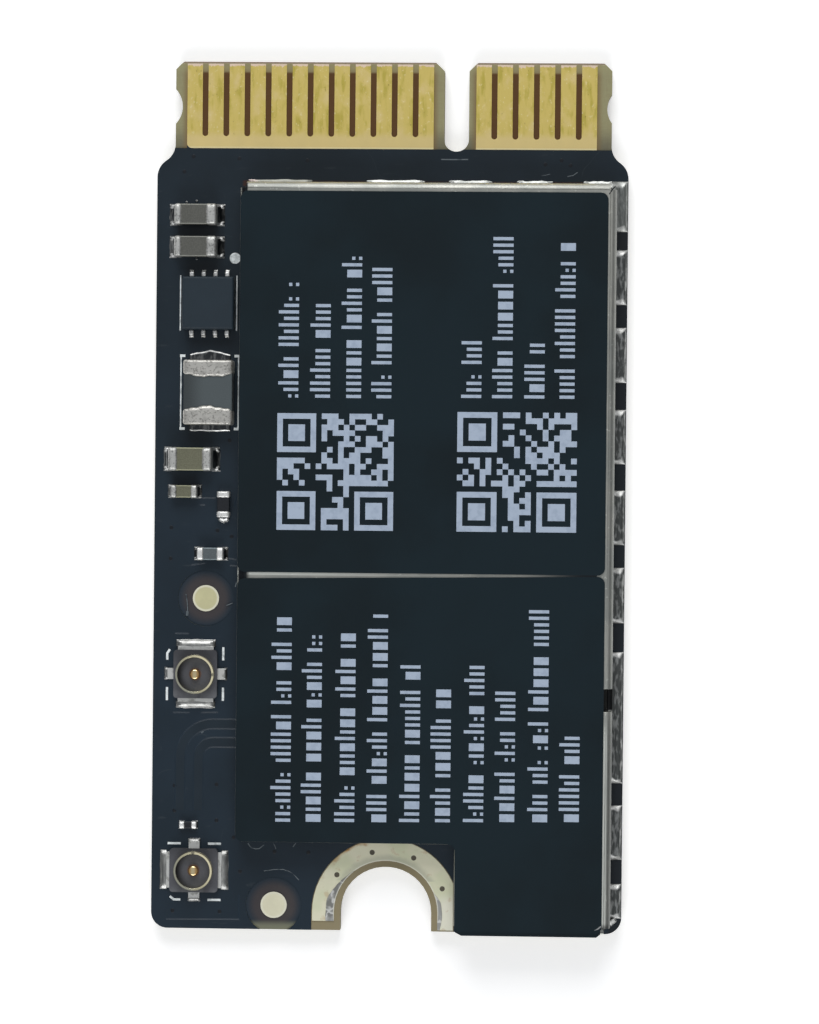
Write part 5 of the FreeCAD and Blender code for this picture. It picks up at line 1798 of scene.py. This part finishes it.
@dataclass
class Copper:
    """The bare plated copper: edge contacts, screw ring and fiducials."""

    root_bar: float = 0.46
    opening_round: float = 0.19
    notch_centre: Point = (0.0, -15.8)
    fiducial_tints: dict[str, Tint] = field(default_factory=lambda: {
        "upper": (0.63, 0.60, 0.355), "lower": (0.78, 0.75, 0.555)})
    via_count: int = 4
    via_circle: float = 2.34
    via_first_angle: float = 23.5
    via_step_angle: float = 39.8
    via_radius: float = 0.1
    via_floor: float = 0.3
    via_sink: float = 0.02
    via_steps: int = 20

    def build(self) -> None:
        """Dresses the plated nodes and fills the ring's vias."""
        comb = Box.of("front_contacts_wide")
        corner = (comb.low.x + self.opening_round, comb.low.y + self.opening_round)
        gold = GoldFinish(root=comb.low.y + self.root_bar, bar=self.root_bar, tip=comb.high.y, corner=corner,
                          corner_radius=self.opening_round)
        for side in ("front", "rear"):
            dress(f"{side}_contacts_wide", gold)
            dress(f"{side}_contacts_narrow", gold)
            dress(f"screw_ring_{side}", RingFinish(centre=self.notch_centre))
        for end in ("upper", "lower"):
            disc = Box.of(f"fiducial_{end}")
            skin = FiducialFinish(f"fiducial_{end}_skin", centre=(disc.centre.x, disc.centre.y),
                                  radius=disc.size.x / 2, plating=self.fiducial_tints[end])
            dress(f"fiducial_{end}", skin)
        self.fill_ring_vias()

    def fill_ring_vias(self) -> None:
        """Adds the dark fill of the ring's vias."""
        board = Box.of("circuit_board")
        fill = Sculpt()
        for i in range(self.via_count):
            angle = math.radians(self.via_first_angle + i * self.via_step_angle)
            spot = (self.notch_centre[0] + self.via_circle * math.cos(angle),
                    self.notch_centre[1] + self.via_circle * math.sin(angle))
            outline = circle(spot, self.via_radius, self.via_steps)
            fill.slab(outline, self.via_floor, board.high.z - self.via_sink)
        fill.piece("ring_via_fill", VIA_FILL)


@dataclass
class ShieldCan:
    """The shield: sheet lid over its soldered frame.

    Attributes:
        right_feet: both ends of each foot along the right edge.
        end_feet: both ends of each foot along the upper edge.
        fold_slit: points of the slit, from the lid's upper right corner.
        slit_heights: how far the slit reaches under and over the lid's upper face.
        lip_heights: how far the faces of the film's lip lie under the lid's upper face.
        tail: where a tail of solder starts at the lower right.
        tail_way: the way it runs.
        tail_size: its width and reach.
    """

    right_feet: tuple[Point, ...] = (
        (10.11, 12.02), (7.35, 9.42), (4.40, 6.49), (1.32, 3.38), (-1.74, 0.32), (-4.70, -2.60),
        (-10.77, -5.80), (-13.67, -11.61), (-15.90, -14.59),
    )
    end_feet: tuple[Point, ...] = ((-5.48, -3.03), (-0.99, 1.25), (2.14, 3.80), (4.72, 6.10), (7.24, 8.46))
    skirt_clearance: float = 0.05
    edge_margin: float = 0.004
    foot_lap: float = 0.01
    lid_round: float = 0.02
    frame_round: float = 0.015
    fold_slit: tuple[Point, ...] = ((0.30, 0.42), (0.17, 0.22), (0.07, 0.12))
    slit_width: float = 0.045
    slit_heights: Point = (0.01, 0.001)
    end_reach: float = 0.36
    lip: tuple[Point, ...] = (
        (2.68, -16.2), (2.68, -16.37), (2.92, -16.495), (8.0, -16.495), (8.15, -16.38), (8.15, -16.2),
    )
    lip_heights: Point = (0.08, 0.004)
    tail: Point = (8.56, -15.95)
    tail_way: Point = (0.64, -0.77)
    tail_size: Point = (0.32, 0.20)

    def build(self) -> None:
        """Dresses lid and frame, and adds the lid's slit, the film's lip and the frame's solder."""
        dress("shield_lid", LidFinish(), self.lid_round)
        dress("shield_frame", SHADED_FRAME_SHEET, self.frame_round)
        board = Box.of("circuit_board")
        frame_box = Box.of("shield_frame")
        lid = Box.of("shield_lid")
        self.fold_corner(lid.high)
        self.wrap_film(lid.high.z)
        height = lid.low.z - self.skirt_clearance - board.high.z
        sculpt = Sculpt()
        for low, high in self.right_feet:
            foot = Vector((frame_box.high.x - self.foot_lap, (low + high) / 2, board.high.z))
            reach = board.high.x - self.edge_margin - foot.x
            SolderJoint(foot, Vector((1.0, 0.0, 0.0)), high - low, reach, height, ears=0.0, phase=low * 1.3,
                        ragged=0.012, bead=0.11, end_run=0.24).build(sculpt)
        SolderJoint(Vector((*self.tail, board.high.z)), Vector((*self.tail_way, 0.0)), *self.tail_size,
                    height / 2, ears=0.0, bead=0.05, end_run=0.08).build(sculpt)
        for low, high in self.end_feet:
            foot = Vector(((low + high) / 2, frame_box.high.y - self.foot_lap, board.high.z))
            SolderJoint(foot, Vector((0.0, 1.0, 0.0)), high - low, self.end_reach, height, ears=0.05,
                        ear_inset=0.12, phase=low * 1.9).build(sculpt)
        sculpt.piece("shield_solder_joints", SHIELD_SOLDER, ["shield_solder"])

    def fold_corner(self, corner: Vector) -> None:
        """Adds a dark strip, painted shade, on the slit where two folds of the lid meet.

        Args:
            corner: the lid's highest corner.
        """
        slit = Sculpt()
        path = [(corner.x - across, corner.y - along) for across, along in self.fold_slit]
        under, over = self.slit_heights
        slit.line(path, self.slit_width, corner.z - under, corner.z + over)
        slit.piece("lid_fold_slit_shade", VIA_MASK)

    def wrap_film(self, top: float) -> None:
        """Adds the lip of label film that stands over the lid's lower edge.

        Args:
            top: the lid's upper face.
        """
        lip = Sculpt()
        low, high = self.lip_heights
        lip.slab(self.lip, top - low, top - high)
        lip.piece("label_lower_lip", FILM)


class Mark(Enum):
    """Plain marks that fill a printed row: how far each runs along it, and its share of the row's height."""

    TALL = (0.12, 1.0)
    SHORT = (0.12, 0.74)
    BLOCK = (0.29, 0.74)
    DOTS = (0.12, 0.5)


@dataclass
class LabelPrint:
    """The label films with their plain print: rows of marks and two block squares.

    Attributes:
        rows: upper line, start and length of each row, which reads up the card.
        squares: lowest corner and side of each square.
        corner_rings: rings of a square's framed corners that are printed, counted from their middle.
        group: fewest and most marks in a group.
        chances: how often each of the plain marks comes.
        crease: outline of the painted highlight on the lower film's crease, from the film's lower right corner.
        crease_heights: how far that painted highlight reaches under and over the film's upper face.
    """

    rows: tuple[Triple, ...] = (
        (-4.17, 3.72, 4.6), (-2.97, 3.72, 3.8), (-1.80, 3.72, 5.6), (-0.66, 3.72, 5.3), (2.73, 3.76, 2.45),
        (3.89, 3.76, 6.25), (5.10, 3.76, 2.45), (6.23, 3.76, 6.25),
        (-4.33, -12.28, 7.9), (-3.18, -12.27, 7.4), (-1.91, -12.26, 7.2), (-0.70, -12.25, 8.1),
        (0.54, -12.23, 6.2), (1.70, -12.22, 5.1), (2.95, -12.20, 6.2), (4.12, -12.18, 5.1),
        (5.36, -12.17, 8.6), (6.55, -12.15, 3.4),
    )
    squares: tuple[tuple[Point, float], ...] = (((-4.19, -1.27), 4.4), ((2.60, -1.27), 4.5))
    cells: int = 21
    corner_cells: int = 7
    corner_rings: tuple[int, ...] = (0, 1, 3)
    fill: float = 0.5
    row_height: float = 0.76
    mark_gap: float = 0.125
    word_gap: float = 0.30
    group: tuple[int, int] = (4, 8)
    chances: tuple[int, ...] = (5, 5, 3, 1)
    ink: float = 0.003
    seed: int = 7
    crease: tuple[Point, ...] = ((-0.29, 0.145), (-0.13, 0.19), (-0.015, 0.28), (-0.02, 0.335), (-0.15, 0.23))
    crease_heights: Point = (0.004, 0.002)

    def __post_init__(self) -> None:
        """Starts the print's mesh, its seeded choices and its height."""
        self.sheet = Sculpt()
        self.dice = random.Random(self.seed)
        self.top = Box.of("label_upper").high.z

    def build(self) -> None:
        """Dresses both films, paints the highlight on the lower one's crease and prints them."""
        for name in ("label_upper", "label_lower"):
            dress(name, FILM)
        self.paint_crease_highlight(Box.of("label_lower"))
        for row in self.rows:
            self.print_row(*row)
        for corner, side in self.squares:
            self.print_square(corner, side)
        self.sheet.piece("label_print", INK)

    def paint_crease_highlight(self, film: Box) -> None:
        """Adds a pale patch, the painted highlight of the crease at the lower film's corner.

        Args:
            film: the film's box.
        """
        crease = Sculpt()
        under, over = self.crease_heights
        crease.slab([(film.high.x + across, film.low.y + along) for across, along in self.crease],
                    film.high.z - under, film.high.z + over)
        crease.piece("film_corner_crease_highlight", CREASE_HIGHLIGHT)

    def stamp(self, x: Point, y: Point) -> None:
        """Prints a rectangle."""
        self.sheet.tile(x, y, self.top - SINK / 2, self.top + self.ink)

    def print_row(self, left: float, start: float, length: float) -> None:
        """Fills a row with groups of marks.

        Args:
            left: the row's upper line.
            start: where it starts.
            length: how long it is.
        """
        place = start
        base = left + self.row_height
        left_in_group = self.dice.randint(*self.group)
        while place + Mark.BLOCK.value[0] < start + length:
            mark = self.dice.choices(list(Mark), self.chances)[0]
            run, share = mark.value
            self.print_mark(mark, (base - self.row_height * share, base), (place, place + run))
            place += run + self.mark_gap
            left_in_group -= 1
            if not left_in_group:
                place += self.word_gap
                left_in_group = self.dice.randint(*self.group)

    def print_mark(self, mark: Mark, x: Point, y: Point) -> None:
        """Prints one mark.

        Args:
            mark: which mark.
            x: its two ends across the card.
            y: its two ends along the row.
        """
        size = y[1] - y[0]
        parts = ((x[0], x[0] + size), (x[1] - size, x[1])) if mark is Mark.DOTS else (x,)
        for part in parts:
            self.stamp(part, y)

    def print_square(self, corner: Point, side: float) -> None:
        """Prints a square of random cells with three framed corners.

        Args:
            corner: its lowest corner.
            side: its side.
        """
        cell = side / self.cells
        for row in range(self.cells):
            run = None
            for column in range(self.cells + 1):
                filled = column < self.cells and self.is_filled(column, row)
                if filled and run is None:
                    run = column
                if not filled and run is not None:
                    x = (corner[0] + run * cell, corner[0] + column * cell)
                    self.stamp(x, (corner[1] + row * cell, corner[1] + (row + 1) * cell))
                    run = None

    def is_filled(self, column: int, row: int) -> bool:
        """Tells whether a cell of a square is printed.

        Args:
            column: the cell's place across the square.
            row: its place along the square.

        Returns:
            Whether it is.
        """
        chance = self.dice.random() < self.fill
        last = self.cells - self.corner_cells
        middle = self.corner_cells // 2
        for left, low in ((0, 0), (last, 0), (0, last)):
            across, up = column - left, row - low
            if -1 <= across <= self.corner_cells and -1 <= up <= self.corner_cells:
                return max(abs(across - middle), abs(up - middle)) in self.corner_rings
        return chance


@dataclass
class SealedChips:
    """The chips under the shield."""

    rounding: float = 0.03
    crystal_round: float = 0.05

    def build(self) -> None:
        """Dresses the chips."""
        for name in ("wifi_chip", "bluetooth_chip", "memory_chip", "front_end_upper", "front_end_lower"):
            dress(name, MOULD, self.rounding)
        for name in ("band_filter_upper", "band_filter_lower"):
            dress(name, GREY, self.rounding)
        dress("crystal", CAN, self.crystal_round)
        dress("decoupling_capacitors", OLIVE, self.rounding)


@dataclass(frozen=True)
class Lamp:
    """A soft lamp that is aimed at the card.

    Attributes:
        name: the lamp's name.
        place: where it hangs, in metres.
        size: its side, in metres.
        power: its power in watts.
    """

    name: str
    place: Triple
    size: float
    power: float

    def hang(self) -> None:
        """Adds the lamp."""
        light = bpy.data.lights.new(self.name, "AREA")
        light.shape = "SQUARE"
        light.size = self.size
        light.energy = self.power
        lamp = bpy.data.objects.new(self.name, light)
        lamp.location = self.place
        lamp.rotation_euler = (-lamp.location).to_track_quat("-Z", "Y").to_euler()
        bpy.context.scene.collection.objects.link(lamp)


@dataclass
class Studio:
    """Floor, light and camera.

    Attributes:
        dim_ends: where across the room it begins to be dim, and where it is.
        horizon: height up to which the room is white, and above which it isn't.
        floor_glow: light that the floor adds where it is seen.
        camera_turn: the camera's turn in degrees, as an axis times its angle.
        clip: nearest and furthest distance that it shows, in metres.
    """

    lamps: tuple[Lamp, ...] = (
        Lamp("head_lamp", (-0.02, 0.31, 0.27), 0.24, 0.85),
        Lamp("foot_lamp", (-0.02, -0.31, 0.27), 0.24, 0.62),
    )
    sky: Tint = (0.36, 0.375, 0.395)
    dim: Tint = (0.11, 0.115, 0.125)
    dim_ends: Point = (0.35, 0.7)
    horizon: Point = (0.05, 0.16)
    floor_level: float = -0.00002
    floor_half: float = 40.0
    floor_tint: Tint = (0.86, 0.86, 0.86)
    floor_glow: float = 0.42
    camera_turn: Triple = (-0.522, 2.609, 0.552)
    camera_place: Triple = (0.007581, 0.000834, 0.150433)
    lens: float = 138.69
    sensor: float = 36.0
    clip: Point = (0.001, 200.0)

    def build(self) -> None:
        """Sets up floor, lamps, sky and camera."""
        self.lay_floor()
        self.paint_sky()
        for lamp in self.lamps:
            lamp.hang()
        self.aim_camera()
        bpy.context.scene.view_settings.view_transform = "Standard"

    def lay_floor(self) -> None:
        """Adds a pale floor that shows white and keeps the card's shadow."""
        half = self.floor_half
        data = bpy.data.meshes.new("floor")
        corners = [(-half, -half, 0), (half, -half, 0), (half, half, 0), (-half, half, 0)]
        data.from_pydata(corners, [], [(0, 1, 2, 3)])
        floor = bpy.data.objects.new("floor", data)
        floor.location.z = self.floor_level
        bpy.context.scene.collection.objects.link(floor)
        material = bpy.data.materials.new("floor_paint")
        material.use_nodes = True
        shader = Shader(material.node_tree)
        path = shader.add("ShaderNodeLightPath").output.node
        kinds = ("Camera", "Glossy", "Transmission")
        rays = [Socket(shader, path.outputs[f"Is {kind} Ray"]) for kind in kinds]
        seen = functools.reduce(Socket.most, rays)
        paint = shader.add("ShaderNodeBsdfDiffuse", None, {"Color": self.floor_tint})
        glow = shader.add("ShaderNodeEmission", None, {"Strength": seen * self.floor_glow})
        both = shader.add("ShaderNodeAddShader", None, {0: paint, 1: glow})
        shader.add("ShaderNodeOutputMaterial", None, {"Surface": both})
        data.materials.append(material)

    def paint_sky(self) -> None:
        """Fills the room with even light that is dim at both sides and white at the horizon."""
        world = bpy.data.worlds.new("room")
        bpy.context.scene.world = world
        world.use_nodes = True
        shader = Shader(world.node_tree)
        across, _, height = shader.split(shader.add("ShaderNodeTexCoord", output="Generated"))
        tint = shader.mix(self.sky, self.dim, abs(across).rise(*self.dim_ends))
        tint = shader.mix((1.0, 1.0, 1.0), tint, height.rise(*self.horizon))
        sky = shader.add("ShaderNodeBackground", None, {"Color": tint, "Strength": 1.0})
        shader.add("ShaderNodeOutputWorld", None, {"Surface": sky})

    def aim_camera(self) -> None:
        """Adds the camera, nearly straight above the card."""
        data = bpy.data.cameras.new("camera")
        data.lens = self.lens
        data.sensor_width = self.sensor
        data.clip_start, data.clip_end = self.clip
        camera = bpy.data.objects.new("camera", data)
        turn = Vector([math.radians(part) for part in self.camera_turn])
        camera.rotation_mode = "QUATERNION"
        camera.rotation_quaternion = Quaternion(turn.normalized(), turn.length)
        camera.location = self.camera_place
        bpy.context.scene.collection.objects.link(camera)
        bpy.context.scene.camera = camera


def main() -> None:
    """Builds the card's pieces in order, then the studio."""
    logging.basicConfig(level=logging.INFO, format="%(name)s %(message)s")
    silk = Sculpt()
    tabs = Sculpt()
    Board().build(silk)
    Copper().build()
    ShieldCan().build()
    LabelPrint().build()
    ChipLane().build()
    sockets = (
        AntennaSocket("antenna_socket_upper", False, dash_shift=(-0.03, 0.0), bent=(-1.0, 1.0, 0.1)),
        AntennaSocket("antenna_socket_lower", True, dash_shift=(0.0, -0.07), bent=(-1.0, -1.0, 0.12)),
    )
    for socket in sockets:
        socket.build(silk, tabs)
    silk.piece("board_markings", SILK)
    tabs.piece("socket_solder_joints", TAB_SOLDER)
    SealedChips().build()
    Studio().build()


if __name__ == "__main__":
    main()
